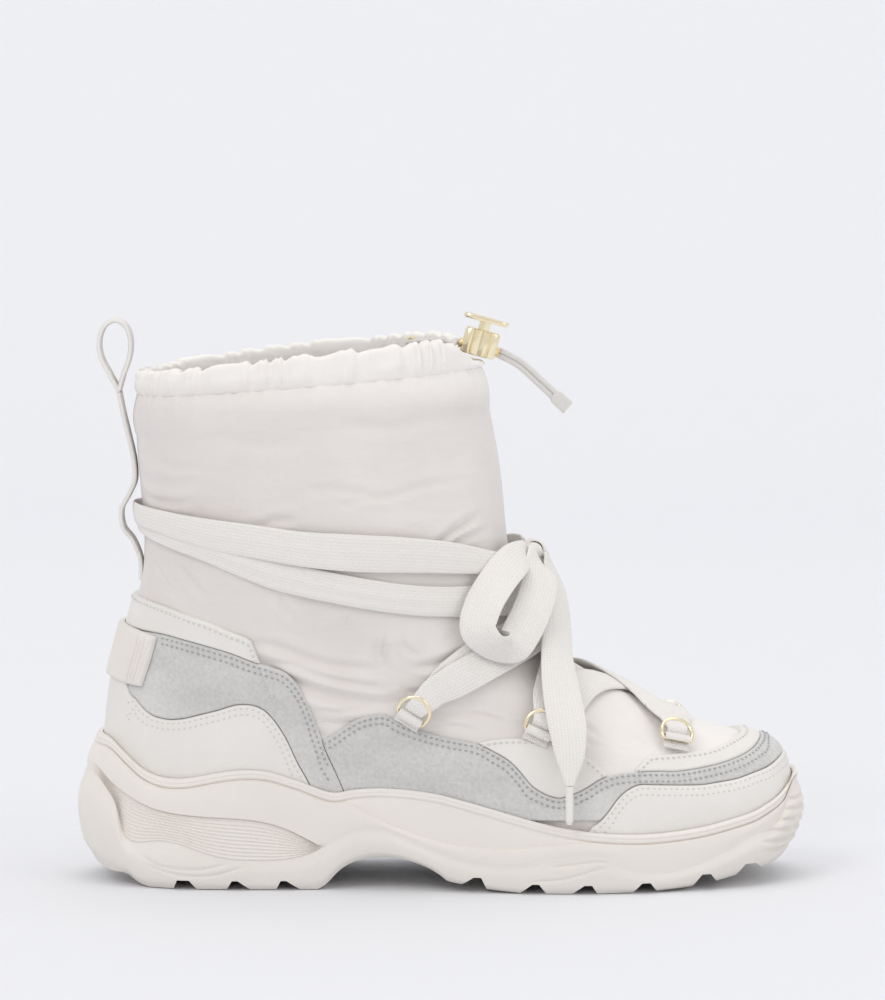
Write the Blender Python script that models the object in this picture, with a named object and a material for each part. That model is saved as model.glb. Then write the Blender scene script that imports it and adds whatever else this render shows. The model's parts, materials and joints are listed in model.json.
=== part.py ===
"""An apres ski boot for the right foot, standing empty on its sole.

The toe points along +X, the outer side faces -Y and the floor is z = 0. Lengths are in
millimetres until a mesh is made, which scales them to metres. The upper is one surface,
worked out from a table of sections; every panel, band and lace is laid on that surface.
"""

import math
from collections import namedtuple

import bmesh
import bpy
import numpy as np
from mathutils import Vector
from mathutils.bvhtree import BVHTree

MM = 0.001

# Driving dimensions
GAP = 0.3  # clearance between neighbouring solids
WALL = 3.0  # padded wall of the upper
PANEL = 1.4  # thickness of the leather and suede panels
PANEL_IN = 0.6  # where a panel starts, above the upper
PANEL_OUT = PANEL_IN + PANEL
RIM_IN = PANEL_OUT + GAP + 0.75  # where the sole's rim starts, above the upper
INSOLE = 4.2
LACE_WIDTH = 13.5
LACE = 1.4
STRAP = 2.2  # thickness of the rubber heel strap
WEBBING = 2.0  # thickness of the pull loop's strap
WEBBING_WIDTH = 13.0
WIRE_RADIUS = 0.8  # wire of the rings
CORD_RADIUS = 1.1  # each of the two cords of the drawcord
BEAD = 3.6  # height of the bead under the sole's rim
PART_LINE_DEPTH = 7.0  # least thickness of foam under the foot
STEP = 0.5  # least height of a row of the sole's side

UPPER_COLUMNS = 40  # round the upper, half as many as the panels have
PANEL_COLUMNS = 80
SOLE_COLUMNS = 60
UPPER_STEPS = 22

# Where along a section its half-widths are given, from 0 at the back to 1 at the front
STATIONS = np.array([0.12, 0.40, 0.70, 0.92])

Section = namedtuple(
    "Section",
    "back_x back_z front_x front_z heel waist ball toe roundness follow",
)

# Sections of the upper from its bottom edge to the collar seam. follow says how far a
# section sinks with the footbed between heel and toe.
UPPER = [
    Section(-128.5, 32.6, 134.0, 21.6, 31.0, 34.0, 45.5, 31.0, 0.75, 1.0),
    Section(-130.2, 43.0, 135.2, 30.0, 33.5, 36.5, 47.5, 33.0, 0.75, 1.0),
    Section(-130.8, 54.0, 135.2, 38.5, 34.0, 38.0, 47.0, 32.5, 0.75, 0.95),
    Section(-130.2, 64.0, 133.6, 46.0, 34.2, 39.0, 45.2, 30.0, 0.75, 0.75),
    Section(-129.2, 72.0, 130.6, 51.3, 34.4, 39.5, 42.0, 26.0, 0.76, 0.50),
    Section(-128.0, 79.0, 124.5, 54.6, 34.6, 40.0, 39.5, 21.5, 0.78, 0.30),
    Section(-126.4, 85.5, 114.0, 57.2, 34.8, 40.4, 38.2, 20.0, 0.80, 0.15),
    Section(-124.8, 91.5, 101.0, 60.3, 35.2, 41.0, 38.4, 20.5, 0.82, 0.0),
    Section(-123.2, 97.5, 86.0, 66.3, 35.6, 42.0, 39.2, 21.0, 0.85, 0.0),
    Section(-121.4, 103.5, 70.5, 74.0, 36.0, 42.8, 40.2, 21.5, 0.87, 0.0),
    Section(-119.8, 109.5, 56.5, 81.0, 36.5, 43.8, 41.5, 22.5, 0.89, 0.0),
    Section(-118.3, 115.5, 46.0, 88.2, 37.0, 45.0, 43.0, 23.5, 0.90, 0.0),
    Section(-117.4, 121.5, 38.0, 96.8, 37.3, 46.0, 43.8, 24.5, 0.92, 0.0),
    Section(-117.0, 127.5, 32.0, 106.5, 37.6, 46.8, 44.5, 25.2, 0.93, 0.0),
    Section(-117.0, 134.5, 28.0, 117.5, 37.8, 47.5, 45.0, 26.0, 0.94, 0.0),
    Section(-117.4, 142.0, 25.6, 129.5, 38.0, 48.0, 45.5, 26.5, 0.95, 0.0),
    Section(-118.0, 150.5, 24.3, 142.0, 38.2, 48.5, 46.0, 27.0, 0.95, 0.0),
    Section(-118.7, 160.0, 23.4, 155.0, 38.4, 49.0, 46.0, 27.0, 0.95, 0.0),
    Section(-119.2, 170.0, 21.8, 168.0, 38.4, 49.0, 46.0, 27.0, 0.95, 0.0),
    Section(-119.4, 180.0, 19.3, 181.5, 38.2, 48.8, 45.8, 27.0, 0.95, 0.0),
    Section(-119.2, 187.0, 16.8, 193.0, 37.8, 48.2, 45.2, 26.6, 0.95, 0.0),
    Section(-118.7, 190.5, 14.6, 201.5, 37.0, 47.0, 44.2, 26.0, 0.95, 0.0),
]

# The sole's outline at its widest
SOLE = Section(-143.3, 0.0, 142.6, 0.0, 40.5, 42.0, 53.8, 39.5, 0.72, 0.0)

# Plan centreline, x and y: the toe swings to the inner side
CENTRELINE = [(-143, 0.0), (-60, -0.5), (0, -1.5), (55, -0.4), (100, 2.5), (143, 5.5)]

# Lines along the side of the sole, x and z
FOOTBED = [
    (-143, 32.5), (-100, 32.0), (-60, 30.0), (-20, 24.5), (20, 18.0),
    (50, 15.0), (80, 14.5), (110, 17.0), (142, 22.0),
]
RIM = [
    (-137, 57.2), (-130, 56.8), (-123, 51.2), (-117, 46.3), (-111, 43.6), (-105, 42.8),
    (-98, 43.3), (-86, 45.7), (-77, 46.7), (-68, 46.2), (-56, 42.6), (-43, 38.0),
    (-34, 39.2), (-23, 39.8), (-5, 38.4), (10, 35.0), (40, 27.0), (55, 24.3), (68, 23.0),
    (79, 22.7), (90, 23.3), (102, 24.7), (113, 27.0), (121, 29.0), (126, 31.2),
    (131, 34.0), (135, 37.5), (139, 41.0),
]
RIB_LINE = [
    (-140, 47.0), (-135, 46.0), (-129, 40.4), (-123, 36.2), (-117, 33.1), (-111, 30.9),
    (-99, 29.1), (-74, 27.4), (-62, 24.5), (-50, 18.6), (-46, 16.5), (-30, 10.0), (0, 0.0),
]
WAVE_LINE = [
    (-60, 60.0), (-45, 38.0), (-39, 35.0), (-32, 31.5), (-20, 25.8), (-5, 20.5), (6, 18.2),
    (17, 17.3), (29, 17.4), (40, 18.9), (55, 19.9), (70, 19.6), (85, 19.4), (96, 20.2),
    (107, 22.5), (118, 26.0), (124, 29.5), (131, 33.0), (138, 38.0),
]
PART_LINE = [
    (-142, 45.5), (-135, 42.3), (-130.5, 37.4), (-127, 31.8), (-124, 21.5), (-120, 18.0),
    (-109, 19.0), (-101, 17.8), (-92, 14.6), (-83, 12.5), (-74, 11.9), (-62, 12.2),
    (-52, 14.4), (-43, 18.6), (-35, 22.4), (-28, 23.6), (-20, 22.2), (-5, 16.3),
    (10, 11.7), (25, 10.4), (40, 12.5), (55, 14.8), (62, 13.8), (73, 9.2), (82, 8.0),
    (91, 8.6), (107, 13.7), (121, 20.5), (128, 23.0), (132, 27.5), (137, 37.0), (142, 39.0),
]
TREAD = [
    (-138, 8.6), (-130, 5.4), (-122, 4.6), (-119, 2.2), (-115, 0.6), (-110, 0.0),
    (-50, 0.0), (-47, 1.0), (-44, 3.4), (-40, 7.6), (-35, 10.8), (-28, 12.8), (-20, 13.0),
    (-13, 11.8), (-6, 9.4), (-1, 6.6), (2, 4.4), (8, 3.3), (17, 1.8), (29, 0.6), (37, 0.0),
    (72, 0.0), (81, 0.5), (94, 1.5), (104, 2.8), (112, 4.4), (122, 6.4), (128, 7.6),
    (136, 10.6),
]

# Transverse tread notches: where each starts and ends at the floor and at its roof
Notch = namedtuple("Notch", "low_back roof_back roof_front low_front roof_z")
NOTCHES = [
    Notch(-104.3, -102.8, -98.1, -94.9, 3.8),
    Notch(-83.7, -81.5, -79.2, -73.9, 3.8),
    Notch(-64.5, -62.6, -60.4, -54.7, 3.8),
    Notch(7.3, 12.0, 14.9, 17.1, 6.2),
    Notch(29.6, 34.5, 37.2, 40.2, 4.0),
    Notch(49.6, 54.6, 57.6, 59.8, 3.6),
    Notch(72.9, 77.0, 80.2, 83.0, 4.2),
    Notch(96.2, 100.4, 103.8, 106.4, 6.6),
    Notch(113.5, 117.6, 121.9, 124.5, 9.3),
]
GROOVE_HALF = 3.0  # the groove down the middle of the tread
GROOVE_RUNS = [(-113.0, -49.0), (4.0, 112.0)]
GROOVE_ROOF = 2.6
TOE_RIBS = [13.6, 17.4, 21.2, 25.0, 28.8, 32.4]  # heights of the grooves round the toe
TOE_RIB = 1.3  # height of each groove
TOE_RIB_DEPTH = 1.1
TOE_RIB_SPREAD = 0.46  # how far round the toe they run, in radians of the outline

# Edges of the panels as seen from the side, x and z
GUARD_TOP = [
    (-124, 112.4), (-116, 111.1), (-106, 109.0), (-98, 106.6), (-89, 103.9), (-81, 100.6),
    (-74.5, 98.0), (-71, 94.9), (-69.2, 91.5), (-68.2, 88.0), (-66, 78.0),
]
QUARTER_TOP = [
    (-126, 99.0), (-116, 98.8), (-107, 98.4), (-98, 96.7), (-90, 94.8), (-81, 92.3),
    (-73, 89.3), (-66, 87.2), (-60.2, 84.8), (-56, 80.5), (-52.5, 74.7), (-50.2, 69.0),
    (-47.5, 61.4), (-45.2, 54.7), (-41.0, 45.4), (-37.9, 38.1), (-34, 28.0),
]
COUNTER_TOP = [
    (-126, 97.6), (-122.6, 97.0), (-121.4, 78.5), (-117.9, 72.2), (-112.5, 67.1), (-106.5, 65.6),
    (-100.6, 66.0), (-93.9, 67.8), (-86.1, 70.0), (-79.5, 72.1), (-73.7, 72.2),
    (-68.7, 70.2), (-64.5, 65.7), (-60.2, 58.8), (-56.0, 49.6), (-51.7, 41.7), (-47, 30.0),
]
BAND_TOP = [
    (-49, 57.4), (-43.3, 60.1), (-38.3, 63.5), (-32.5, 67.0), (-26.7, 68.6), (-21.7, 68.6),
    (-16.0, 65.6), (-8.3, 62.5), (2.5, 59.6), (13.3, 57.4), (20.2, 54.0), (25.9, 50.6),
    (30.1, 46.5), (34.4, 41.5), (39.3, 38.4), (44.3, 36.8), (48.2, 37.4), (54.3, 39.9),
    (60.9, 43.6), (67.8, 45.4), (82.1, 45.5), (90.6, 45.1), (105.2, 46.6), (114.1, 48.6),
    (119.9, 50.8), (124.0, 53.4), (127.0, 56.5),
]
TOE_GUARD_TOP = [
    (52, 16.0), (56.6, 24.8), (60.0, 27.5), (63.5, 31.2), (66.6, 35.4), (70.0, 38.6),
    (73.5, 40.5), (76.2, 41.1), (82.0, 40.8), (99.2, 40.0), (106.7, 40.6), (113.9, 41.4),
    (119.7, 42.9), (125.9, 44.6), (131.0, 47.4), (136.0, 51.6),
]
SIDE_FACING_TOP = [
    (10, 56.0), (14.4, 57.9), (19.4, 59.0), (27.5, 59.4), (34.4, 58.9), (41.0, 57.8),
    (53.3, 52.7), (58.3, 49.4), (63.2, 44.9), (68, 39.0),
]
TOE_FACING_TOP = [
    (70, 40.0), (74.8, 46.7), (77.2, 49.1), (79.5, 50.8), (81.5, 51.2), (88.1, 51.2),
    (96.8, 51.5), (105.5, 52.4), (111.2, 54.0), (117.5, 56.2), (121.6, 58.4),
]
STRAP_TOP = [(-134, 100.6), (-122, 100.0), (-109, 97.4), (-100, 96.0)]
STRAP_BOTTOM = [(-134, 80.7), (-122, 78.1), (-115.5, 77.5), (-100, 77.0)]
STRAP_FRONT_TOP = -109.1
STRAP_FRONT_BOTTOM = -115.5
STRAP_RIBS = 4
STRAP_RIB_PITCH = 1.9
STRAP_RIB_HEIGHT = 0.6

# Where the rings' tabs leave the upper, x and z, from back to front
Ring = namedtuple("Ring", "name x z lean lift")
RINGS = [
    Ring("back", -12.6, 67.6, -32.0, PANEL_OUT),
    Ring("middle", 36.6, 60.4, -24.0, PANEL_OUT),
    Ring("front", 89.6, 54.2, 4.0, PANEL_OUT),
]

MATERIALS = {
    "nylon": ((0.80, 0.78, 0.76), 0.55, 0.0),
    "leather": ((0.84, 0.82, 0.79), 0.45, 0.0),
    "suede": ((0.58, 0.60, 0.60), 0.95, 0.0),
    "rubber": ((0.80, 0.77, 0.72), 0.60, 0.0),
    "foam": ((0.82, 0.79, 0.74), 0.60, 0.0),
    "board": ((0.78, 0.75, 0.70), 0.90, 0.0),
    "lace": ((0.84, 0.83, 0.80), 0.85, 0.0),
    "webbing": ((0.84, 0.82, 0.80), 0.80, 0.0),
    "cord": ((0.82, 0.81, 0.78), 0.80, 0.0),
    "gold": ((0.86, 0.76, 0.52), 0.22, 1.0),
    "plastic": ((0.86, 0.85, 0.82), 0.25, 0.0),
}


def clear_scene():
    for item in list(bpy.data.objects):
        bpy.data.objects.remove(item, do_unlink=True)


def material(name):
    made = bpy.data.materials.get(name)
    if made is None:
        colour, roughness, metallic = MATERIALS[name]
        made = bpy.data.materials.new(name)
        made.use_nodes = True
        shader = made.node_tree.nodes["Principled BSDF"]
        shader.inputs["Base Color"].default_value = (*colour, 1.0)
        shader.inputs["Roughness"].default_value = roughness
        shader.inputs["Metallic"].default_value = metallic
    return made


def smooth_weights(x, knots):
    """Weights of each knot for a smooth curve through values at the knots, read at x."""
    knots = np.asarray(knots, float)
    count = len(knots)
    x = np.clip(np.asarray(x, float), knots[0], knots[-1])
    cell = np.clip(np.searchsorted(knots, x, side="right") - 1, 0, count - 2)
    width = knots[cell + 1] - knots[cell]
    t = (x - knots[cell]) / width
    slopes = np.zeros((count, count))  # slope at each knot from the values at the knots
    for i in range(1, count - 1):
        span = knots[i + 1] - knots[i - 1]
        slopes[i, i + 1] = 1 / span
        slopes[i, i - 1] = -1 / span
    for i, j in ((0, 1), (count - 1, count - 2)):
        reach = knots[j] - knots[i]
        slopes[i, j] = 1 / reach
        slopes[i, i] = -1 / reach
    unit = np.eye(count)
    start, end = 2 * t**3 - 3 * t**2 + 1, -2 * t**3 + 3 * t**2
    rise, fall = t**3 - 2 * t**2 + t, t**3 - t**2
    return (
        start[..., None] * unit[cell]
        + end[..., None] * unit[cell + 1]
        + (rise * width)[..., None] * slopes[cell]
        + (fall * width)[..., None] * slopes[cell + 1]
    )


def curve(points):
    """A smooth function z(x) through the points, level past both ends."""
    xs, zs = np.array(points, float).T

    def value(x):
        return smooth_weights(x, xs) @ zs

    return value


centreline = curve(CENTRELINE)
footbed = curve(FOOTBED)
rim_line = curve(RIM)
rib_line = curve(RIB_LINE)
wave_line = curve(WAVE_LINE)
part_line = curve(PART_LINE)
tread_curve = curve(TREAD)
guard_top = curve(GUARD_TOP)
quarter_top = curve(QUARTER_TOP)
counter_top = curve(COUNTER_TOP)
band_top = curve(BAND_TOP)
toe_guard_top = curve(TOE_GUARD_TOP)
side_facing_top = curve(SIDE_FACING_TOP)
toe_facing_top = curve(TOE_FACING_TOP)
strap_top = curve(STRAP_TOP)
strap_bottom = curve(STRAP_BOTTOM)


def tread_line(x):
    """Height of the uncut tread, level on the floor under the heel and the forefoot."""
    return np.maximum(tread_curve(x) - 0.3, 0.0)


def end_round(along, roundness):
    """How wide a section is near its ends: half a circle raised to the roundness."""
    return (2 * np.sqrt(np.clip(along * (1 - along), 0, None))) ** roundness


def half_width(along, halves, roundness):
    """Half-width at a share of the length, through the four station values."""
    weights = smooth_weights(along, STATIONS)
    roundness = np.asarray(roundness, float)
    at_stations = halves / end_round(STATIONS, roundness[..., None])
    return (weights * at_stations).sum(-1) * end_round(along, roundness)


UPPER_TABLE = np.array(UPPER, float)
LAST_ROW = len(UPPER) - 1


def upper_surface(angle, row):
    """Point on the outside of the upper. angle is 0 at the toe, pi at the heel and
    positive on the outer side; row counts the sections from the bottom edge."""
    angle, row = np.broadcast_arrays(np.asarray(angle, float), np.asarray(row, float))
    mix = smooth_weights(row, np.arange(len(UPPER))) @ UPPER_TABLE
    back_x, back_z, front_x, front_z = (mix[..., i] for i in range(4))
    roundness, follow = mix[..., 8], mix[..., 9]
    along = (1 + np.cos(angle)) / 2
    x = back_x + (front_x - back_x) * along
    half = half_width(along, mix[..., 4:8], roundness)
    chord = footbed(-130.0) + (footbed(136.0) - footbed(-130.0)) * along
    z = back_z + (front_z - back_z) * along - follow * (chord - footbed(x))
    y = centreline(x) - np.sign(np.sin(angle)) * half
    return np.stack([x, y, z], axis=-1)


def upper_normal(angle, row):
    """Unit normal of the upper, pointing out of the boot."""
    turn, climb = 0.02, 0.05
    low = np.clip(np.asarray(row, float) - climb, 0, LAST_ROW)
    high = np.clip(np.asarray(row, float) + climb, 0, LAST_ROW)
    around = upper_surface(angle + turn, row) - upper_surface(angle - turn, row)
    upwards = upper_surface(angle, high) - upper_surface(angle, low)
    normal = np.cross(upwards, around)
    return normal / np.linalg.norm(normal, axis=-1, keepdims=True)


def on_upper(angle, row, lift):
    """Point at a distance above the upper's outside, or below it where lift is negative."""
    angle, row = np.broadcast_arrays(np.asarray(angle, float), np.asarray(row, float))
    lift = np.asarray(lift, float)
    return upper_surface(angle, row) + upper_normal(angle, row) * lift[..., None]


SCAN = np.linspace(0, LAST_ROW, 500)


def row_at(angles, line):
    """The row at which each angle's meridian first rises through the line z(x)."""
    rows = []
    for angle in np.atleast_1d(angles):
        points = upper_surface(np.full(len(SCAN), angle), SCAN)
        above = points[:, 2] - line(points[:, 0])
        over = np.nonzero(above > 0)[0]
        if len(over) == 0:
            rows.append(float(LAST_ROW))
        elif over[0] == 0:
            rows.append(0.0)
        else:
            i = over[0]
            part = above[i - 1] / (above[i - 1] - above[i])
            rows.append(SCAN[i - 1] + part * (SCAN[i] - SCAN[i - 1]))
    return np.array(rows)


def find_on_side(x, z, side=1.0):
    """Angle and row of the upper's outside at x and z on one side, 1 outer, -1 inner."""
    angles = np.linspace(0.02, math.pi - 0.02, 240)
    grid_angle, grid_row = np.meshgrid(angles, SCAN[::2], indexing="ij")
    points = upper_surface(grid_angle, grid_row)
    away = (points[..., 0] - x) ** 2 + (points[..., 2] - z) ** 2
    i, j = np.unravel_index(np.argmin(away), away.shape)
    return side * grid_angle[i, j], grid_row[i, j]


def angle_at(x, z):
    """The angle of the outer side's point at x and z."""
    return find_on_side(x, z)[0]


def add_object(name, points, faces, finish, smooth_angle=35.0):
    """A mesh object from points in millimetres, its faces turned outwards."""
    mesh = bpy.data.meshes.new(name)
    mesh.from_pydata((np.asarray(points, float) * MM).tolist(), [], faces)
    shaper = bmesh.new()
    shaper.from_mesh(mesh)
    bmesh.ops.remove_doubles(shaper, verts=shaper.verts, dist=1e-6)
    bmesh.ops.dissolve_degenerate(shaper, edges=shaper.edges, dist=1e-7)
    bmesh.ops.recalc_face_normals(shaper, faces=shaper.faces)
    shaper.to_mesh(mesh)
    shaper.free()
    mesh.shade_smooth()
    mesh.set_sharp_from_angle(angle=math.radians(smooth_angle))
    item = bpy.data.objects.new(name, mesh)
    mesh.materials.append(material(finish))
    bpy.context.collection.objects.link(item)
    return item


def grid_faces(rows, columns, start=0, closed=False):
    """Triangles of a grid of points, row after row; a closed grid joins its last column."""
    faces = []
    for i in range(rows - 1):
        for j in range(columns if closed else columns - 1):
            k = (j + 1) % columns
            first = start + i * columns
            above = first + columns
            faces.append((first + j, first + k, above + k))
            faces.append((first + j, above + k, above + j))
    return faces


def across_faces(ring_start, columns):
    """Faces across a ring whose column j lies opposite column columns - j."""
    faces = []
    half = columns // 2
    for j in range(half):
        a, b = j, j + 1
        c, d = (columns - b) % columns, (columns - a) % columns
        corners = []
        for corner in (a, b, c, d):
            if ring_start + corner not in corners:
                corners.append(ring_start + corner)
        if len(corners) > 2:
            faces.append(tuple(corners))
    return faces


def ring_angles(columns):
    """Angles once round, column 0 at the toe and column half at the heel."""
    return np.arange(columns) * 2 * math.pi / columns


def stacked(name, rings, finish, loop=False):
    """A solid through a stack of rings, capped across, or joined back to the first."""
    columns = len(rings[0])
    points = np.concatenate(rings)
    faces = grid_faces(len(rings), columns, closed=True)
    last = (len(rings) - 1) * columns
    if loop:
        for j in range(columns):
            k = (j + 1) % columns
            faces.append((last + j, last + k, k, j))
    else:
        faces += across_faces(0, columns)
        faces += across_faces(last, columns)
    return add_object(name, points, faces, finish)


def patch(name, angles, rows, lift_in, lift_out, finish):
    """A panel on the upper. angles and rows are grids; the lifts are its two faces."""
    inner = on_upper(angles, rows, np.broadcast_to(lift_in, rows.shape))
    outer = on_upper(angles, rows, np.broadcast_to(lift_out, rows.shape))
    return sheet_solid(name, inner, outer, finish)


def sheet_solid(name, inner, outer, finish):
    """A closed solid between two grids of points of the same shape."""
    high, wide = inner.shape[:2]
    count = high * wide
    points = np.concatenate([inner.reshape(-1, 3), outer.reshape(-1, 3)])
    faces = grid_faces(high, wide) + grid_faces(high, wide, start=count)
    edge = [j for j in range(wide)]
    edge += [i * wide + wide - 1 for i in range(1, high)]
    edge += [(high - 1) * wide + j for j in range(wide - 2, -1, -1)]
    edge += [i * wide for i in range(high - 2, 0, -1)]
    for i, a in enumerate(edge):
        b = edge[(i + 1) % len(edge)]
        faces.append((a, b, count + b, count + a))
    return add_object(name, points, faces, finish)


def box(name, low, high, finish="rubber"):
    """A plain closed box."""
    points = [(x, y, z) for x in (low[0], high[0]) for y in (low[1], high[1]) for z in (low[2], high[2])]
    faces = [(0, 1, 3, 2), (4, 6, 7, 5), (0, 4, 5, 1), (2, 3, 7, 6), (0, 2, 6, 4), (1, 5, 7, 3)]
    return add_object(name, points, faces, finish)


def prism(name, outline, low_y, high_y, finish="rubber"):
    """A closed outline in x and z, drawn out along y."""
    count = len(outline)
    points = [(x, y, z) for y in (low_y, high_y) for x, z in outline]
    faces = [tuple(range(count)), tuple(range(count, 2 * count))]
    faces += [(i, (i + 1) % count, count + (i + 1) % count, count + i) for i in range(count)]
    return add_object(name, points, faces, finish)


def boolean(item, other, operation):
    """Cut item by another solid, or join the two, keeping the result as item's mesh."""
    cut = item.modifiers.new(operation.lower(), "BOOLEAN")
    cut.object = other
    cut.operation = operation
    cut.solver = "EXACT"
    graph = bpy.context.evaluated_depsgraph_get()
    mesh = bpy.data.meshes.new_from_object(item.evaluated_get(graph))
    item.modifiers.remove(cut)
    old = item.data
    item.data = mesh
    mesh.name = old.name
    bpy.data.meshes.remove(old)
    bpy.data.objects.remove(other, do_unlink=True)


def fill_cavities(item):
    """Remove the closed shells that face into a solid, such as a gap between two laces."""
    mesh = bmesh.new()
    mesh.from_mesh(item.data)
    waiting = set(mesh.faces)
    while waiting:
        seed = waiting.pop()
        shell, front = [seed], [seed]
        while front:
            face = front.pop()
            for edge in face.edges:
                for other in edge.link_faces:
                    if other in waiting:
                        waiting.remove(other)
                        shell.append(other)
                        front.append(other)
        volume = sum(
            face.calc_area() * face.normal.dot(face.calc_center_median()) for face in shell
        )
        if volume < 0:
            bmesh.ops.delete(mesh, geom=shell, context="FACES")
    mesh.to_mesh(item.data)
    mesh.free()


# Sole

SoleRing = namedtuple("SoleRing", "line back front side")


def sole_outline(angle, back=0.0, front=0.0, side=0.0):
    """Plan outline of the sole, drawn in from its widest by the three insets."""
    along = (1 + np.cos(angle)) / 2
    low, high = SOLE.back_x + back, SOLE.front_x - front
    x = low + (high - low) * along
    halves = np.array([SOLE.heel, SOLE.waist, SOLE.ball, SOLE.toe]) - side
    half = half_width(along, halves, np.full(np.shape(along), SOLE.roundness))
    y = centreline(x) - np.sign(np.sin(angle)) * half
    return x, y


def sole_ring(ring, angle):
    x, y = sole_outline(angle, ring.back, ring.front, ring.side)
    return np.stack([x, y, ring.line(x)], axis=-1)


def inner_part_line(x):
    """The parting line under the foot, kept low enough to leave foam above it."""
    return np.minimum(part_line(x), footbed(x) - PART_LINE_DEPTH)


def side_lines(x):
    """Heights of the midsole's side rows, each at least a step above the one below."""
    part = part_line(x) + GAP / 2
    rib = np.maximum(rib_line(x), part + STEP)
    wave = np.maximum(np.minimum(wave_line(x), rim_line(x) - BEAD - STEP), rib + 2 * STEP)
    bead = np.maximum(rim_line(x) - BEAD, wave + STEP)
    middle = np.maximum(rim_line(x) - BEAD / 2, bead + STEP)
    top = np.maximum(rim_line(x), middle + STEP)
    return part, rib, wave, bead, middle, top


def outsole():
    angle = ring_angles(SOLE_COLUMNS)

    def share(part):
        def line(x):
            return tread_line(x) + part * (part_line(x) - GAP / 2 - tread_line(x))

        return line

    rings = [
        SoleRing(tread_line, 6.5, 7.5, 2.4),
        SoleRing(share(0.22), 1.9, 3.4, 0.7),
        SoleRing(share(0.62), 0.0, 0.0, 0.0),
        SoleRing(share(1.0), 3.8, 3.0, 0.6),
        SoleRing(lambda x: inner_part_line(x) - GAP / 2, 4.9, 4.6, 8.0),
    ]
    stack = [sole_ring(ring, angle) for ring in reversed(rings)]
    item = stacked("outsole", stack, "rubber")
    reach = SOLE.ball + 12
    for i, notch in enumerate(NOTCHES):
        low = -6.0
        outline = [
            (notch.low_back, low),
            (notch.low_back, tread_line(notch.low_back)),
            (notch.roof_back, notch.roof_z),
            (notch.roof_front, notch.roof_z),
            (notch.low_front, tread_line(notch.low_front)),
            (notch.low_front, low),
        ]
        boolean(item, prism(f"notch_{i}", outline, -reach, reach), "DIFFERENCE")
    for i, (back, front) in enumerate(GROOVE_RUNS):
        cutter = box(f"groove_{i}", (back, -GROOVE_HALF, -6.0), (front, GROOVE_HALF, GROOVE_ROOF))
        boolean(item, cutter, "DIFFERENCE")
    around = np.linspace(-TOE_RIB_SPREAD, TOE_RIB_SPREAD, 9)
    for i, height in enumerate(TOE_RIBS):
        inside = np.stack([*sole_outline(around, 0, TOE_RIB_DEPTH, TOE_RIB_DEPTH)], -1)
        outside = np.stack([*sole_outline(around, 0, -9.0, -9.0)], -1)
        low = np.stack([inside, outside])
        low = np.concatenate([low, np.full((*low.shape[:2], 1), height - TOE_RIB / 2)], -1)
        high = low + np.array([0, 0, TOE_RIB])
        boolean(item, sheet_solid(f"rib_{i}", low, high, "rubber"), "DIFFERENCE")
    return item


def midsole():
    angle = ring_angles(SOLE_COLUMNS)

    def line(index, raised=0.0):
        return lambda x: side_lines(x)[index] + raised

    rings = [
        SoleRing(lambda x: inner_part_line(x) + GAP / 2, 4.9, 4.6, 8.0),
        SoleRing(line(0), 3.8, 3.0, 0.6),
        SoleRing(line(1), 4.6, 3.1, 1.7),
        SoleRing(line(1, STEP / 2), 3.9, 3.1, 0.5),
        SoleRing(line(2), 6.3, 3.2, 0.5),
        SoleRing(line(2, STEP / 2), 6.5, 3.2, 1.4),
        SoleRing(line(3), 7.2, 3.4, 2.2),
        SoleRing(line(4), 7.4, 3.2, 1.7),
        SoleRing(line(5), 8.4, 3.5, 2.5),
    ]
    stack = [sole_ring(ring, angle) for ring in rings]
    inner_top = on_upper(angle, row_at(angle, rim_line), np.full(len(angle), RIM_IN))
    inner_top[:, 2] = side_lines(inner_top[:, 0])[5]
    inner_low = on_upper(angle, np.zeros(len(angle)), np.full(len(angle), RIM_IN))
    inner_low[:, 2] = footbed(inner_low[:, 0])
    return stacked("midsole", [*stack, inner_top, inner_low], "foam")


def insole():
    angle = ring_angles(UPPER_COLUMNS)
    inset = np.full(len(angle), -WALL - GAP)
    low = on_upper(angle, np.zeros(len(angle)), inset)
    low[:, 2] = footbed(low[:, 0]) + GAP
    high = low + np.array([0, 0, INSOLE])
    return stacked("insole", [low, high], "board")


# Upper


def upper_rows():
    """Rows of the upper's mesh, spaced evenly along its front profile."""
    profile = upper_surface(np.zeros(len(SCAN)), SCAN)
    length = np.concatenate([[0], np.cumsum(np.linalg.norm(np.diff(profile, axis=0), axis=1))])
    return np.interp(np.linspace(0, length[-1], UPPER_STEPS + 1), length, SCAN)


def upper():
    angle = ring_angles(UPPER_COLUMNS)
    rows = upper_rows()
    outer = [upper_surface(angle, np.full(len(angle), row)) for row in rows]
    inset = np.full(len(angle), -WALL)
    inner = [on_upper(angle, np.full(len(angle), row), inset) for row in rows[::2]]
    inner[0][:, 2] = outer[0][:, 2]
    inner[-1][:, 2] = outer[-1][:, 2]
    return stacked("upper", outer + inner[::-1], "nylon", loop=True)



Cuff = namedtuple("Cuff", "height lift")

# The gathered channel's top edge, x and z, and its cross-section: height above the seam
# as a share, and lift over the upper
CUFF_TOP = [
    (-122, 198.6), (-105, 201.0), (-84, 203.6), (-50, 207.8), (-24, 210.2), (-2, 212.3),
    (4, 211.8), (7, 208.6), (10, 205.2), (13, 203.4), (16, 202.6),
]
CUFF_SECTION = [
    Cuff(0.0, 0.3), Cuff(0.35, 1.7), Cuff(0.9, 0.6), Cuff(1.0, -1.6), Cuff(0.94, -4.2), Cuff(0.0, -3.5),
]
CUFF_LEAST = 1.2
cuff_top = curve(CUFF_TOP)


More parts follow.
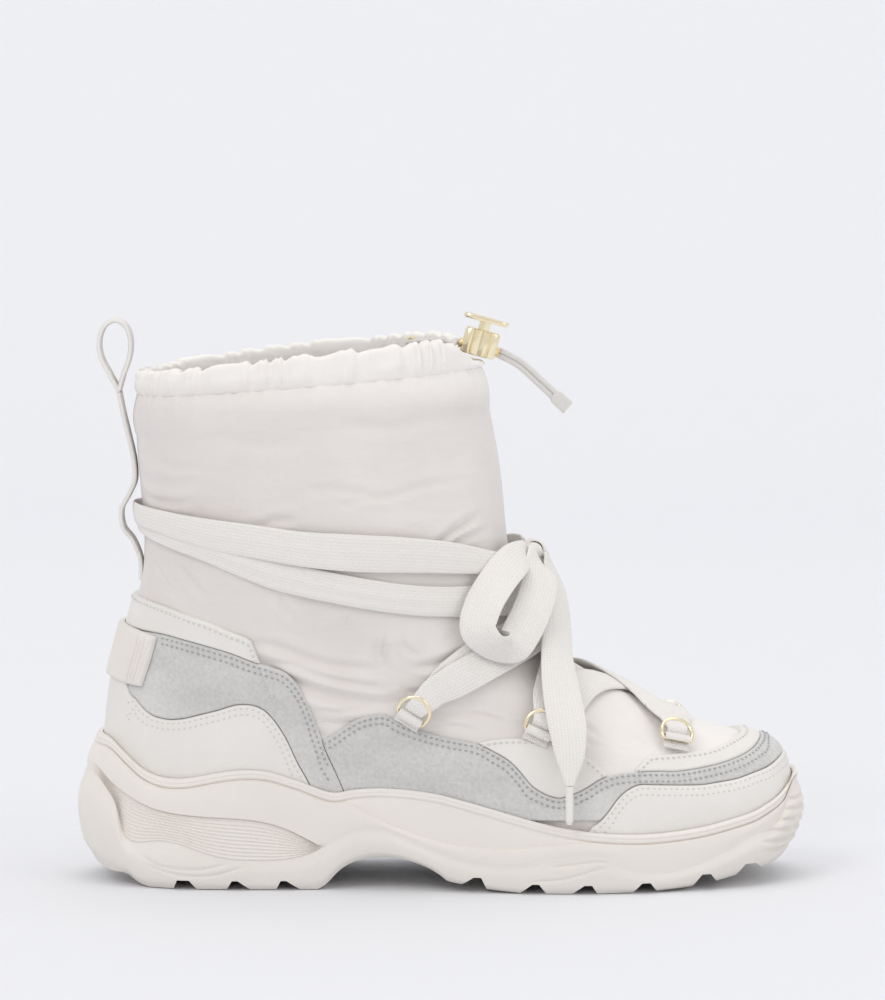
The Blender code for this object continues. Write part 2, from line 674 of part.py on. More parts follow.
def seam_frame(angle):
    """Points of the collar seam and level unit vectors pointing out of the shaft."""
    row = np.full(len(angle), float(LAST_ROW))
    seam = upper_surface(angle, row)
    outward = upper_normal(angle, row)
    outward[:, 2] = 0
    return seam, outward / np.linalg.norm(outward, axis=1, keepdims=True)


def collar_cuff():
    angle = ring_angles(UPPER_COLUMNS)
    seam, outward = seam_frame(angle)
    foot = seam[:, 2] + GAP
    top = np.maximum(cuff_top(seam[:, 0]), foot + CUFF_LEAST)
    rings = []
    for corner in CUFF_SECTION:
        ring = seam + outward * corner.lift
        ring[:, 2] = foot + (top - foot) * corner.height
        rings.append(ring)
    return stacked("collar_cuff", rings, "nylon", loop=True)


# Panels


def beside(line, side):
    """A panel's edge: the line moved square to itself by half the gap, up or down."""
    reach = 0.5

    def value(x):
        slope = (line(x + reach) - line(x - reach)) / (2 * reach)
        return line(x) + side * GAP / 2 * np.sqrt(1 + slope**2)

    return value


def tucked(x):
    """Where the panels end inside the sole's rim."""
    return rim_line(x) - 3.0


def highest(*lines):
    def value(x):
        return np.maximum.reduce([line(x) for line in lines])

    return value


def lowest(*lines):
    def value(x):
        return np.minimum.reduce([line(x) for line in lines])

    return value


def strip(name, lower, upper_edge, span, layers, finish):
    """A panel between two lines over a span of angles, on the panels' common columns."""
    step = 2 * math.pi / PANEL_COLUMNS
    angles = np.arange(math.ceil(span[0] / step), math.floor(span[1] / step) + 1) * step
    low, high = row_at(angles, lower), row_at(angles, upper_edge)
    wide = np.nonzero(high - low > 0.05)[0]
    keep = slice(wide[0], wide[-1] + 1)
    angles, low, high = angles[keep], low[keep], high[keep]
    rows = low + (high - low) * np.linspace(0, 1, layers)[:, None]
    grid = np.broadcast_to(angles, rows.shape)
    return patch(name, grid, rows, PANEL_IN, PANEL_OUT, finish)


def panels():
    turn = 2 * math.pi
    counter = angle_at(-49.0, 38.0)
    strip("heel_counter", tucked, beside(counter_top, -1), (counter, turn - counter), 4, "leather")
    guard = angle_at(-66.5, 86.0)
    strip("collar_guard", beside(quarter_top, 1), guard_top, (guard, turn - guard), 3, "leather")
    band = angle_at(-50.0, 55.0)
    band_low = highest(tucked, beside(quarter_top, 1), beside(toe_guard_top, 1))

    def band_floor(x):
        return np.where(x < 50, highest(tucked, beside(quarter_top, 1))(x), band_low(x))

    strip("forefoot_band", band_floor, band_top, (-band, band), 3, "suede")
    toe = angle_at(55.0, 24.0)
    strip("toe_guard", tucked, beside(toe_guard_top, -1), (-toe, toe), 3, "leather")
    facing = angle_at(74.0, 46.0)
    strip("toe_facing", beside(band_top, 1), toe_facing_top, (-facing, facing), 3, "leather")
    back, front = angle_at(-36.0, 36.0), angle_at(-121.0, 85.0)
    facing_back, facing_front = angle_at(14.0, 57.0), angle_at(66.0, 43.0)
    for side, place in ((1, "outer"), (-1, "inner")):
        ends = sorted((side * back, side * front))
        floor = highest(tucked, beside(counter_top, 1))
        strip(f"quarter_{place}", floor, beside(quarter_top, -1), ends, 6, "suede")
        ends = sorted((side * facing_front, side * facing_back))
        strip(f"facing_{place}", beside(band_top, 1), side_facing_top, ends, 3, "leather")


def heel_strap():
    """The rubber band round the heel, its front edges slanted and ribbed."""
    low_end = angle_at(STRAP_FRONT_BOTTOM, strap_bottom(STRAP_FRONT_BOTTOM))
    high_end = angle_at(STRAP_FRONT_TOP, strap_top(STRAP_FRONT_TOP))
    rib_share = STRAP_RIB_PITCH / 22.0
    spots = [0.0]
    for i in range(STRAP_RIBS):
        start = 0.06 + i * rib_share
        spots += [start, start + rib_share * 0.25, start + rib_share * 0.5, start + rib_share * 0.75]
    raised = [0.0] + [0.0, STRAP_RIB_HEIGHT, STRAP_RIB_HEIGHT, 0.0] * STRAP_RIBS
    middle = [0.6, 0.75, 0.88]
    share = np.array([*spots, *middle, 1.0, *(2 - s for s in middle[::-1]), *(2 - s for s in spots[::-1])])
    lift = np.array([*raised, *[0.0] * (2 * len(middle) + 1), *raised[::-1]])
    layers = np.linspace(0, 1, 3)[:, None]
    end = low_end + (high_end - low_end) * layers
    angles = end + (math.pi - end) * share
    rows = np.empty_like(angles)
    for i, layer in enumerate(layers[:, 0]):
        def level(x, layer=layer):
            return strap_bottom(x) + (strap_top(x) - strap_bottom(x)) * layer

        rows[i] = row_at(angles[i], level)
    inside = PANEL_OUT + GAP + 0.05
    return patch("heel_strap", angles, rows, inside, inside + STRAP + lift, "rubber")


# Rings, tabs and laces

def fine_shell():
    """A fine mesh of the upper's outside, for laying bands on it."""
    around, climb = 176, 150
    angle = np.arange(around) * 2 * math.pi / around
    rows = np.interp(np.linspace(0, 1, climb), [0, 1], [0, LAST_ROW])
    points = np.concatenate([upper_surface(angle, np.full(around, row)) for row in rows])
    return BVHTree.FromPolygons(points.tolist(), grid_faces(climb, around, closed=True))


def through(points, count):
    """A smooth path with count points through the given ones, evenly spaced."""
    points = np.asarray(points, float)
    length = np.concatenate([[0], np.cumsum(np.linalg.norm(np.diff(points, axis=0), axis=1))])
    return smooth_weights(np.linspace(0, length[-1], count), length) @ points


def unit(vectors):
    vectors = np.asarray(vectors, float)
    return vectors / np.linalg.norm(vectors, axis=-1, keepdims=True)


def ribbon(name, path, normals, widths, thickness, finish, closed=False):
    """A flat band along a path. normals point off its face; widths may vary."""
    path, normals = np.asarray(path, float), np.asarray(normals, float)
    widths = np.broadcast_to(widths, len(path))[:, None]
    if closed:
        heading = np.roll(path, -1, axis=0) - np.roll(path, 1, axis=0)
    else:
        heading = np.gradient(path, axis=0)
    across = unit(np.cross(unit(heading), normals))
    off = unit(np.cross(across, unit(heading)))
    off *= np.sign((off * normals).sum(1, keepdims=True))
    half, deep = across * widths / 2, off * thickness / 2
    corners = [path - half - deep, path + half - deep, path + half + deep, path - half + deep]
    rings = np.stack(corners, axis=1)
    count = len(path)
    points = rings.reshape(-1, 3)
    faces = grid_faces(count, 4, closed=True)
    last = (count - 1) * 4
    if closed:
        for j in range(4):
            k = (j + 1) % 4
            faces += [(last + j, last + k, k), (last + j, k, j)]
    else:
        faces += [(0, 1, 2), (0, 2, 3), (last, last + 2, last + 1), (last, last + 3, last + 2)]
    return add_object(name, points, faces, finish)


def over_shell(shell, start, over, end, count, drop=4.0):
    """Points and normals of the upper along the plane through three points, from start
    over the ridge to end, seen from a place inside the foot."""
    start, over, end = (np.asarray(p, float) for p in (start, over, end))
    middle = (start + end) / 2
    eye = middle - unit(over - middle) * drop
    aims = unit([start - eye, over - eye, end - eye])
    share = np.linspace(0, 1, count)
    places, normals = [], []
    for s in share:
        first = 0 if s < 0.5 else 1
        t = s * 2 - first
        angle = math.acos(float(np.dot(aims[first], aims[first + 1])))
        aim = aims[first] * math.sin((1 - t) * angle) + aims[first + 1] * math.sin(t * angle)
        place, normal, _, _ = shell.ray_cast(Vector(eye), Vector(aim).normalized())
        if normal.dot(Vector(aim)) < 0:
            normal.negate()
        places.append(place)
        normals.append(normal)
    return np.array(places), np.array(normals)


def crossing(shell, name, start, over, end, lift):
    """A lace laid over the upper from start to end, its ends narrowed to enter a ring."""
    places, normals = over_shell(shell, start, over, end, 11)
    for _ in range(3):
        normals[1:-1] = unit(normals[:-2] + normals[1:-1] * 2 + normals[2:])
    share = np.linspace(0, 1, len(places))
    ends = np.minimum(share, 1 - share)
    widths = np.interp(ends, [0, 0.14], [LACE_WIDTH * 0.62, LACE_WIDTH])
    return ribbon(name, places + normals * (lift + LACE / 2), normals, widths, LACE, "lace")


RING_RADIUS = 6.2
RING_FLAT = math.radians(30)
RING_STEPS = 11
TAB_HALF = 4.9
TAB_WALL = 0.8
TAB_TAIL = 2.0
BAR_LIFT = 2 * GAP + TAB_WALL + WIRE_RADIUS + 0.35
RING_TILT = math.radians(13)


def tube(name, path, radius, finish, sides=8, closed=False):
    """A round bar along a path, with flat ends where it is open."""
    path = np.asarray(path, float)
    if closed:
        heading = unit(np.roll(path, -1, axis=0) - np.roll(path, 1, axis=0))
    else:
        heading = unit(np.gradient(path, axis=0))
    first = unit(np.cross(heading[0], [0.31, 0.77, 0.56]))
    across = [first]
    for h in heading[1:]:
        across.append(unit(across[-1] - h * np.dot(across[-1], h)))
    across = np.array(across)
    up = np.cross(heading, across)
    turns = np.arange(sides) * 2 * math.pi / sides
    ring = across[:, None] * np.cos(turns)[None, :, None] + up[:, None] * np.sin(turns)[None, :, None]
    radius = np.broadcast_to(radius, len(path))[:, None, None]
    points = (path[:, None] + ring * radius).reshape(-1, 3)
    count = len(path)
    faces = grid_faces(count, sides, closed=True)
    last = (count - 1) * sides
    if closed:
        for j in range(sides):
            k = (j + 1) % sides
            faces += [(last + j, last + k, k), (last + j, k, j)]
    else:
        faces += [tuple(range(sides)), tuple(range(last, last + sides))]
    return add_object(name, points, faces, finish, smooth_angle=50.0)


def ring_frame(ring, side):
    """Place of a ring's bar and the directions along it, up the foot and off the upper."""
    angle, row = find_on_side(ring.x, ring.z, side)
    off = upper_normal(angle, row)
    place = upper_surface(angle, row) + off * ring.lift
    lean = math.radians(ring.lean)
    along = np.array([math.cos(lean), 0, math.sin(lean)])
    along = unit(along - off * np.dot(along, off))
    up = np.cross(off, along)
    if up[2] < 0:
        up = -up
    return place, along, up, off


def ring_and_tab(ring, side, place_name):
    place, along, up, off = ring_frame(ring, side)
    bar = place + off * BAR_LIFT
    lean_up = up * math.cos(RING_TILT) + off * math.sin(RING_TILT)
    centre = bar + lean_up * RING_RADIUS * math.sin(RING_FLAT)
    turns = np.linspace(-RING_FLAT, math.pi + RING_FLAT, RING_STEPS)
    arc = [centre + along * RING_RADIUS * math.cos(t) + lean_up * RING_RADIUS * math.sin(t) for t in turns]
    half = RING_RADIUS * math.cos(RING_FLAT)
    bar_points = [bar - along * half * s for s in (0.82, -0.82)]
    tube(f"d_ring_{ring.name}_{place_name}", arc + bar_points, WIRE_RADIUS, "gold", 6, closed=True)
    inner_radius = WIRE_RADIUS + GAP + 0.15
    outer_radius = inner_radius + TAB_WALL
    turns = np.linspace(-math.pi / 2, math.radians(130), 6)
    outer = [(outer_radius * math.cos(t), outer_radius * math.sin(t)) for t in turns]
    tail_top = -outer_radius + 2 * TAB_WALL
    outer += [(-TAB_TAIL - outer_radius, tail_top), (-TAB_TAIL - outer_radius, -outer_radius)]
    inner = []
    for t in np.arctan2([q for _, q in outer], [p for p, _ in outer]):
        inner.append((inner_radius * math.cos(t), inner_radius * math.sin(t)))

    def profile(outline, reach):
        return np.array([bar + up * p + off * q + along * reach for p, q in outline])

    rings = [
        profile(outer, -TAB_HALF), profile(outer, TAB_HALF),
        profile(inner, TAB_HALF), profile(inner, -TAB_HALF),
    ]
    stacked(f"ring_tab_{ring.name}_{place_name}", rings, "webbing", loop=True)


def rings_and_laces(shell):
    for ring in RINGS:
        ring_and_tab(ring, 1, "outer")
        ring_and_tab(ring, -1, "inner")
    spots = {}
    for ring in RINGS:
        for side in (1, -1):
            place, _, up, off = ring_frame(ring, side)
            reach = RING_RADIUS * 1.5 + WIRE_RADIUS + 1.0
            spots[ring.name, side] = place + off * BAR_LIFT + up * reach
    low, high = PANEL_OUT + 0.7, PANEL_OUT + 0.7 + LACE * 0.8
    outer_front, inner_front = spots["front", 1], spots["front", -1]
    outer_middle, inner_middle = spots["middle", 1], spots["middle", -1]
    outer_back, inner_back = spots["back", 1], spots["back", -1]
    laces = crossing(shell, "lace_crossings", outer_front, (93, 0, 80), inner_front, low)
    strands = [
        (outer_middle, (66, 0, 90), inner_front, low),
        (outer_front, (66, 0, 90), inner_middle, high),
        (outer_back, (40, 0, 94), inner_middle, low),
        (outer_middle, (40, 0, 94), inner_back, high),
        (outer_back, (37, 0, 97), inner_back, high),
    ]
    for i, (start, over, end, lift) in enumerate(strands):
        boolean(laces, crossing(shell, f"strand_{i}", start, over, end, lift), "UNION")
    fill_cavities(laces)
    return laces


# Ankle wraps, pull loop, bow

# The two bands of lace round the ankle: heights of their edges at x on both sides
WRAP_TOP = [
    (-121, 148.4), (-106.5, 147.1), (-91.4, 145.3), (-72.3, 143.0), (-53, 140.4), (-34, 139.4),
    (-14.8, 137.9), (4, 134.7), (20, 129.4),
]
WRAP_MIDDLE = [
    (-121, 140.1), (-106.5, 138.2), (-91.4, 133.7), (-72.3, 130.1), (-53, 126.9), (-34, 125.0),
    (-14.8, 124.1), (-0.6, 123.1), (20, 121.2),
]
WRAP_LOW_TOP = [
    (-121, 143.1), (-106.5, 141.2), (-91.4, 136.7), (-72.3, 131.1), (-53, 126.9), (-34, 123.0),
    (-14.8, 119.6), (0, 118.0), (22, 117.4),
]
WRAP_BOTTOM = [
    (-121, 138.1), (-106.5, 133.2), (-91.4, 128.3), (-77, 122.3), (-62.7, 117.2), (-43.5, 113.0),
    (-24.4, 109.4), (-5.6, 106.8), (22, 104.6),
]
WRAP_LIFT = 0.7  # clearance between the shaft and the lower band
WRAP_COLUMNS = 36


def wrap(name, low, high, lift):
    """A band right round the shaft between two lines, a set lift off it."""
    angles = ring_angles(WRAP_COLUMNS)
    low_row, high_row = row_at(angles, curve(low)), row_at(angles, curve(high))
    points = [
        on_upper(angles, low_row, lift), on_upper(angles, high_row, lift),
        on_upper(angles, high_row, lift + LACE), on_upper(angles, low_row, lift + LACE),
    ]
    return stacked(name, points, "lace", loop=True)


def ankle_wraps():
    lower = wrap("ankle_wraps", WRAP_BOTTOM, WRAP_LOW_TOP, WRAP_LIFT)
    boolean(lower, wrap("upper_wrap", WRAP_MIDDLE, WRAP_TOP, WRAP_LIFT + LACE * 0.8), "UNION")
    fill_cavities(lower)
    return lower


# The pull loop's webbing seen edge-on, x and z: the stem up the back, bulging round the
# laces, then once round the teardrop
STEM = [
    (-119.5, 119.4), (-119.0, 127.0), (-121.6, 132.6), (-124.9, 137.6), (-125.6, 144.6),
    (-122.6, 150.6), (-120.4, 156.0), (-120.7, 164.0), (-122.6, 173.0), (-124.6, 181.5), (-126.4, 190.6),
]
TEARDROP = [
    (-126.4, 191.0), (-130.2, 198.0), (-133.4, 204.5), (-134.0, 211.0), (-131.8, 216.6), (-127.8, 218.7),
    (-123.8, 216.6), (-121.8, 211.0), (-122.2, 204.5), (-124.6, 197.5),
]


def in_plane(outline):
    return np.array([(x, 0.0, z) for x, z in outline])


def pull_loop():
    stem = through(in_plane(STEM), 19)
    facing = np.broadcast_to([-1.0, 0.0, 0.0], stem.shape)
    loop = ribbon("pull_loop", stem, facing, WEBBING_WIDTH, WEBBING, "webbing")
    drop = in_plane(TEARDROP)
    round_trip = through(np.vstack([drop, drop[:1]]), 25)[:-1]
    middle = np.array([-127.8, 0.0, 206.0])
    ring = ribbon("teardrop", round_trip, unit(round_trip - middle), WEBBING_WIDTH, WEBBING, "webbing", True)
    boolean(loop, ring, "UNION")
    fill_cavities(loop)
    return loop


# The bow, as centre points of the lace, the way its face points and its width
Turn = namedtuple("Turn", "x y z face_x face_y face_z width")
KNOT_PLACE = (35.2, 127.5)
KNOT_RADIUS = 4.5
KNOT_HALF = 7.4
LOOP_OUTER = [
    Turn(36.6, -8.8, 127.0, 0.97, 0.0, 0.20, 7.0),
    Turn(36.8, -12.2, 126.7, 0.92, -0.25, 0.30, 8.5),
    Turn(38.6, -20.5, 119.5, 0.72, -0.66, 0.20, 12.5),
    Turn(36.6, -31.5, 109.5, 0.62, -0.78, 0.0, LACE_WIDTH),
    Turn(31.0, -40.0, 100.0, 0.45, -0.88, -0.15, LACE_WIDTH),
    Turn(26.0, -45.0, 94.8, 0.0, -0.80, -0.60, LACE_WIDTH),
    Turn(19.0, -49.0, 95.2, -0.30, -0.80, -0.50, LACE_WIDTH),
    Turn(13.2, -50.8, 101.8, -0.22, -0.97, -0.05, LACE_WIDTH),
    Turn(14.3, -47.0, 111.5, -0.30, -0.93, 0.15, LACE_WIDTH),
    Turn(19.8, -38.8, 120.5, -0.10, -0.97, 0.25, LACE_WIDTH),
    Turn(27.0, -27.0, 127.5, 0.35, -0.85, 0.40, 10.0),
    Turn(32.8, -13.4, 129.0, 0.85, -0.45, 0.30, 7.0),
    Turn(33.1, -8.9, 128.8, 0.97, 0.0, 0.25, 6.0),
]
END_OUTER = [
    Turn(40.9, -3.8, 127.6, 1.0, -0.05, 0.10, 6.4),
    Turn(42.0, -4.4, 123.4, 0.95, -0.20, 0.30, 7.6),
    Turn(44.2, -6.4, 118.0, 0.92, -0.35, 0.20, 10.0),
    Turn(45.6, -10.5, 111.0, 0.85, -0.45, 0.25, 12.5),
    Turn(45.8, -20.0, 101.0, 0.78, -0.62, 0.10, 13.5),
    Turn(44.8, -32.5, 90.0, 0.50, -0.80, 0.30, 15.0),
    Turn(46.2, -43.0, 77.0, 0.28, -0.92, 0.25, 15.5),
    Turn(48.2, -51.0, 64.0, 0.08, -0.98, 0.15, 14.5),
    Turn(49.0, -54.8, 53.5, 0.0, -1.0, 0.10, 11.0),
    Turn(48.8, -56.0, 46.5, 0.0, -1.0, 0.0, 6.0),
    Turn(48.7, -56.2, 42.8, 0.0, -1.0, 0.0, 3.6),
]
AGLET = (27.8, 42.4)  # heights of a lace tip's ends
AGLET_RADIUS = 1.5


def mirrored(turns):
    return [Turn(t.x, -t.y, t.z, t.face_x, -t.face_y, t.face_z, t.width) for t in turns]


def band_through(name, turns, count, closed=False):
    """A lace along the given turns, smoothly."""
    table = np.array(turns)
    row = through_table(table, count)
    return ribbon(name, row[:, :3], unit(row[:, 3:6]), row[:, 6], LACE, "lace", closed)


def through_table(table, count):
    """Rows evenly spaced along the path of a table whose first three columns are x, y, z."""
    steps = np.linalg.norm(np.diff(table[:, :3], axis=0), axis=1)
    length = np.concatenate([[0], np.cumsum(steps)])
    return smooth_weights(np.linspace(0, length[-1], count), length) @ table


def bow():
    ends = [(KNOT_PLACE[0], side * KNOT_HALF, KNOT_PLACE[1]) for side in (-1, 1)]
    tube("bow_knot", ends, KNOT_RADIUS, "lace", 12)
    for side, place in ((1, "outer"), (-1, "inner")):
        loop = LOOP_OUTER if side > 0 else mirrored(LOOP_OUTER)
        end = END_OUTER if side > 0 else mirrored(END_OUTER)
        band_through(f"bow_loop_{place}", loop, 26)
        band_through(f"lace_end_{place}", end, 18)
        last = end[-1]
        tip = [(last.x, last.y, z) for z in (AGLET[1], AGLET[0])]
        tube(f"aglet_{place}", tip, AGLET_RADIUS, "plastic", 10)


# Cord lock, drawcord and eyelets

LOCK_LEAN = math.radians(15)  # how far the lock's axis leans towards the toe
LOCK_AXIS = np.array([math.sin(LOCK_LEAN), 0.0, math.cos(LOCK_LEAN)])
LOCK_ALONG = np.array([math.cos(LOCK_LEAN), 0.0, -math.sin(LOCK_LEAN)])
LOCK_FOOT = np.array([13.4, 0.0, 204.8])
LOCK_HALF = (7.0, 5.0)
LOCK_HEIGHT = 10.2
LOCK_BORE = (2.6, 4.6)
STEM_RADIUS = 2.3
STEM_REACH = 1.8
BUTTON_LIFT = 3.4  # stem seen between the body and the cap
CAP = (9.0, 5.2, 1.9)
CORD_LEVEL = 3.2
CORD_PITCH = 2.7


def at_lock(along, across, up):
    return LOCK_FOOT + LOCK_ALONG * along + np.array([0.0, across, 0.0]) + LOCK_AXIS * up


def rounded_outline(half_x, half_y, count):
    """A rounded rectangle's points as (along, across)."""
    turns = np.arange(count) * 2 * math.pi / count
    power = 0.45
    c, s = np.cos(turns), np.sin(turns)
    return np.stack([half_x * np.sign(c) * np.abs(c) ** power, half_y * np.sign(s) * np.abs(s) ** power], 1)


def lock_prism(name, half, levels, finish, insets, count=24, outline=None):
    shape = rounded_outline(*half, count) if outline is None else outline
    rings = []
    for level, inset in zip(levels, insets):
        scale = 1 - inset / np.array(half)
        rings.append(np.array([at_lock(a, b, level) for a, b in shape * scale]))
    return stacked(name, rings, finish)


def lock():
    body = lock_prism("lock_body", LOCK_HALF, (0, 0.8, LOCK_HEIGHT - 0.8, LOCK_HEIGHT), "gold", (0.8, 0, 0, 0.8))
    top = at_lock(0, 0, LOCK_HEIGHT + 2)
    boolean(body, tube("bore", [top, at_lock(0, 0, LOCK_HEIGHT - LOCK_BORE[1])], LOCK_BORE[0], "gold", 16), "DIFFERENCE")
    for across in (CORD_PITCH / 2, -CORD_PITCH / 2):
        path = [at_lock(-12, across, CORD_LEVEL), at_lock(12, across, CORD_LEVEL)]
        boolean(body, tube("cord_hole", path, CORD_RADIUS + 0.15, "gold", 10), "DIFFERENCE")
    start = LOCK_HEIGHT - STEM_REACH
    end = LOCK_HEIGHT + BUTTON_LIFT
    button = tube("lock_button", [at_lock(0, 0, start), at_lock(0, 0, end + 0.5)], STEM_RADIUS, "gold", 16)
    cap = lock_prism("cap", CAP[:2], (end, end + 0.5, end + CAP[2] - 0.5, end + CAP[2]), "gold", (0.5, 0, 0, 0.5))
    boolean(button, cap, "UNION")
    return body


def cord_curve(name, route, count, radius, finish="cord"):
    """A cord along a smooth route, as a bevelled curve with closed ends."""
    path = through(route, count)
    curve_data = bpy.data.curves.new(name, "CURVE")
    curve_data.dimensions = "3D"
    spline = curve_data.splines.new("POLY")
    spline.points.add(count - 1)
    for i, place in enumerate(path):
        spline.points[i].co = (*(place * MM), 1.0)
    curve_data.bevel_depth = radius * MM
    curve_data.bevel_resolution = 2
    curve_data.use_fill_caps = True
    curve_data.materials.append(material(finish))
    item = bpy.data.objects.new(name, curve_data)
    bpy.context.scene.collection.objects.link(item)
    return item


EYELET = (-9.3, 207.9)  # x and height of the eyelets on the collar's inner face
EYELET_RADIUS = 2.6
EYELET_THICK = 0.9
TAIL = [(30.5, 201.3), (38.0, 194.6), (43.6, 189.4)]
TAIL_PITCH = 2.3
END_PLACE = (47.0, 186.2)


def drawcord():
    """Cords from the collar's eyelets to the lock, and the doubled tail beyond it."""
    for side, place in ((1, "outer"), (-1, "inner")):
        angle = find_on_side(EYELET[0], EYELET[1] - 10.0, side)[0]
        seam, outward = seam_frame(np.array([angle]))
        off = outward[0]
        face = seam[0] + off * CUFF_SECTION[-2].lift
        face[2] = EYELET[1]
        plate = tube(
            f"eyelet_{place}", [face - off * GAP, face - off * (GAP + EYELET_THICK)], EYELET_RADIUS, "gold", 12
        )
        hole = tube("eye", [face + off * 2, face - off * 4], EYELET_RADIUS * 0.55, "gold", 8)
        boolean(plate, hole, "DIFFERENCE")
        start = face - off * (2 * GAP + EYELET_THICK + 0.3)
        across = -side * CORD_PITCH / 2
        route = [
            start, start - off * 1.6, start - off * 4.4 + np.array([2.6, 0, 0.5]), (0.5, -side * 16.0, 209.6),
            (3.6, -side * 8.0, 208.8), at_lock(-9.4, across * 1.4, CORD_LEVEL), at_lock(-7.4, across, CORD_LEVEL),
        ]
        cord_curve(f"drawcord_{place}", route, 14, CORD_RADIUS)
    out = at_lock(7.4, 0, CORD_LEVEL)
    route = [out, at_lock(9.5, 0, CORD_LEVEL - 0.2), *[(x, 0.0, z) for x, z in TAIL]]
    cord_curve("drawcord_tail", route, 14, CORD_RADIUS)
    item_end = (TAIL[-1][0], 0.0, TAIL[-1][1])
    heading = unit(np.array([END_PLACE[0] - item_end[0], 0.0, END_PLACE[1] - item_end[2]]))
    first = np.array(item_end) + heading * GAP
    last = np.array([END_PLACE[0], 0.0, END_PLACE[1]]) + heading * 3.0
    ribbon("drawcord_end", through([first, last], 4), np.tile([0.0, 0.0, 1.0], (4, 1)), 7.0, 2.6, "cord")


def main():
    clear_scene()
    outsole()
    midsole()
    insole()
    upper()
    collar_cuff()
    panels()
    heel_strap()
    shell = fine_shell()
    rings_and_laces(shell)
    ankle_wraps()
    pull_loop()
    bow()
    lock()
    drawcord()


main()
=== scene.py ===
"""Dress the padded winter boot: fabrics, leathers, sole, laces, cord lock and studio.

Lengths are in millimetres until a mesh is made, which scales them to metres. The boot
stands on z = 0 with its toe along +X and its outer side facing -Y. Most pieces are laid on
one surface, the last, so panels, bands and stitches all follow the same form.
"""

import json
import logging
import math
from collections.abc import Callable, Sequence
from dataclasses import dataclass
from enum import Enum
from itertools import product

import bmesh
import bpy
import numpy as np
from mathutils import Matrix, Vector
from mathutils.bvhtree import BVHTree

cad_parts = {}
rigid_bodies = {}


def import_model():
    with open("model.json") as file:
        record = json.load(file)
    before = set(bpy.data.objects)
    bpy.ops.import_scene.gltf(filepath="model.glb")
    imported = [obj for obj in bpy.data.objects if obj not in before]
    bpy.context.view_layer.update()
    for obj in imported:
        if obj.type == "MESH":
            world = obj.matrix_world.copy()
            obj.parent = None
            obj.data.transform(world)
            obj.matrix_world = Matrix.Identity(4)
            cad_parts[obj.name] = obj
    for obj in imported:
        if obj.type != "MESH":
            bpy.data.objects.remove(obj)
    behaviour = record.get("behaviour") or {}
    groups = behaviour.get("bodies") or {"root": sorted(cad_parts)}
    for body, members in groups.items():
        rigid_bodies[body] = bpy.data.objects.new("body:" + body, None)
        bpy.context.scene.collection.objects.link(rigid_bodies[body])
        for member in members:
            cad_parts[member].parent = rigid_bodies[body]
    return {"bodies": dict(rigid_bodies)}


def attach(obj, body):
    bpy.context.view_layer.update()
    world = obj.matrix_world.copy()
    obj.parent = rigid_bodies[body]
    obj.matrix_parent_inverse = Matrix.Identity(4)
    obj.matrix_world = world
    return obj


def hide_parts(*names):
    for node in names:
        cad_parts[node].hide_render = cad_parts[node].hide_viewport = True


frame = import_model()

LOG = logging.getLogger("boot")
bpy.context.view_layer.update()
MM = 0.001
TURN = 2 * math.pi
BODY = "boot" if "boot" in frame["bodies"] else "root"
BUTTON_BODY = "button" if "button" in frame["bodies"] else BODY

Array = np.ndarray
Line = Callable[[Array], Array]
Material = bpy.types.Material
Piece = bpy.types.Object
Socket = bpy.types.NodeSocket
Triple = tuple[float, float, float]


def smooth_weights(x: Array, knots: Array) -> Array:
    """Weights of each knot for a smooth curve through values at the knots.

    Each span is a cubic whose slope at a knot is that of the line through its neighbours.

    Args:
        x: Where the curve is read, held between the first and last knot.
        knots: Rising positions of the knots.

    Returns:
        One weight per knot for each x, along a new last axis.
    """
    knots = np.asarray(knots, float)
    count = len(knots)
    x = np.clip(np.asarray(x, float), knots[0], knots[-1])
    cell = np.clip(np.searchsorted(knots, x, side="right") - 1, 0, count - 2)
    width = knots[cell + 1] - knots[cell]
    t = (x - knots[cell]) / width
    one, slopes = np.eye(count), np.zeros((count, count))
    place = np.arange(count)
    low, high = np.maximum(place - 1, 0), np.minimum(place + 1, count - 1)
    slopes[place, high] = 1 / (knots[high] - knots[low])
    slopes[place, low] = -slopes[place, high]
    parts = (
        (2 * t**3 - 3 * t**2 + 1, one[cell]), (-2 * t**3 + 3 * t**2, one[cell + 1]),
        ((t**3 - 2 * t**2 + t) * width, slopes[cell]), ((t**3 - t**2) * width, slopes[cell + 1]),
    )
    return sum(share[..., None] * weights for share, weights in parts)


@dataclass(frozen=True)
class Curve:
    """A smooth height z(x) through points, level past both ends."""

    points: Sequence[tuple[float, float]]

    def __call__(self, x: Array) -> Array:
        """Height of the curve at x."""
        xs, zs = np.array(self.points, float).T
        return smooth_weights(x, xs) @ zs


def unit(vectors: Array) -> Array:
    """Vectors scaled to length one."""
    vectors = np.asarray(vectors, float)
    return vectors / np.linalg.norm(vectors, axis=-1, keepdims=True)


def smooth_step(value: Array, low: float, high: float) -> Array:
    """Rise from 0 at low to 1 at high along half a cosine."""
    share = np.clip((np.asarray(value, float) - low) / (high - low), 0, 1)
    return 0.5 - 0.5 * np.cos(math.pi * share)


def around(count: int) -> Array:
    """Angles evenly round a full turn, from 0."""
    return np.arange(count) * TURN / count


def signed_power(values: Array, power: float) -> Array:
    """Values raised to a power with their sign kept, which squares a circle's corners."""
    return np.sign(values) * np.abs(values) ** power


def quarter_round(edge: Array, radius: float) -> Array:
    """Share of the full height at a distance from an edge, along a quarter circle."""
    return np.sqrt(np.clip(1 - (1 - np.clip(edge / radius, 0, 1)) ** 2, 0, 1))


def walked(points: Array) -> Array:
    """Distance walked along the first axis up to each point, from 0."""
    steps = np.linalg.norm(np.diff(points, axis=0), axis=-1)
    return np.concatenate([np.zeros((1, *steps.shape[1:])), np.cumsum(steps, axis=0)])


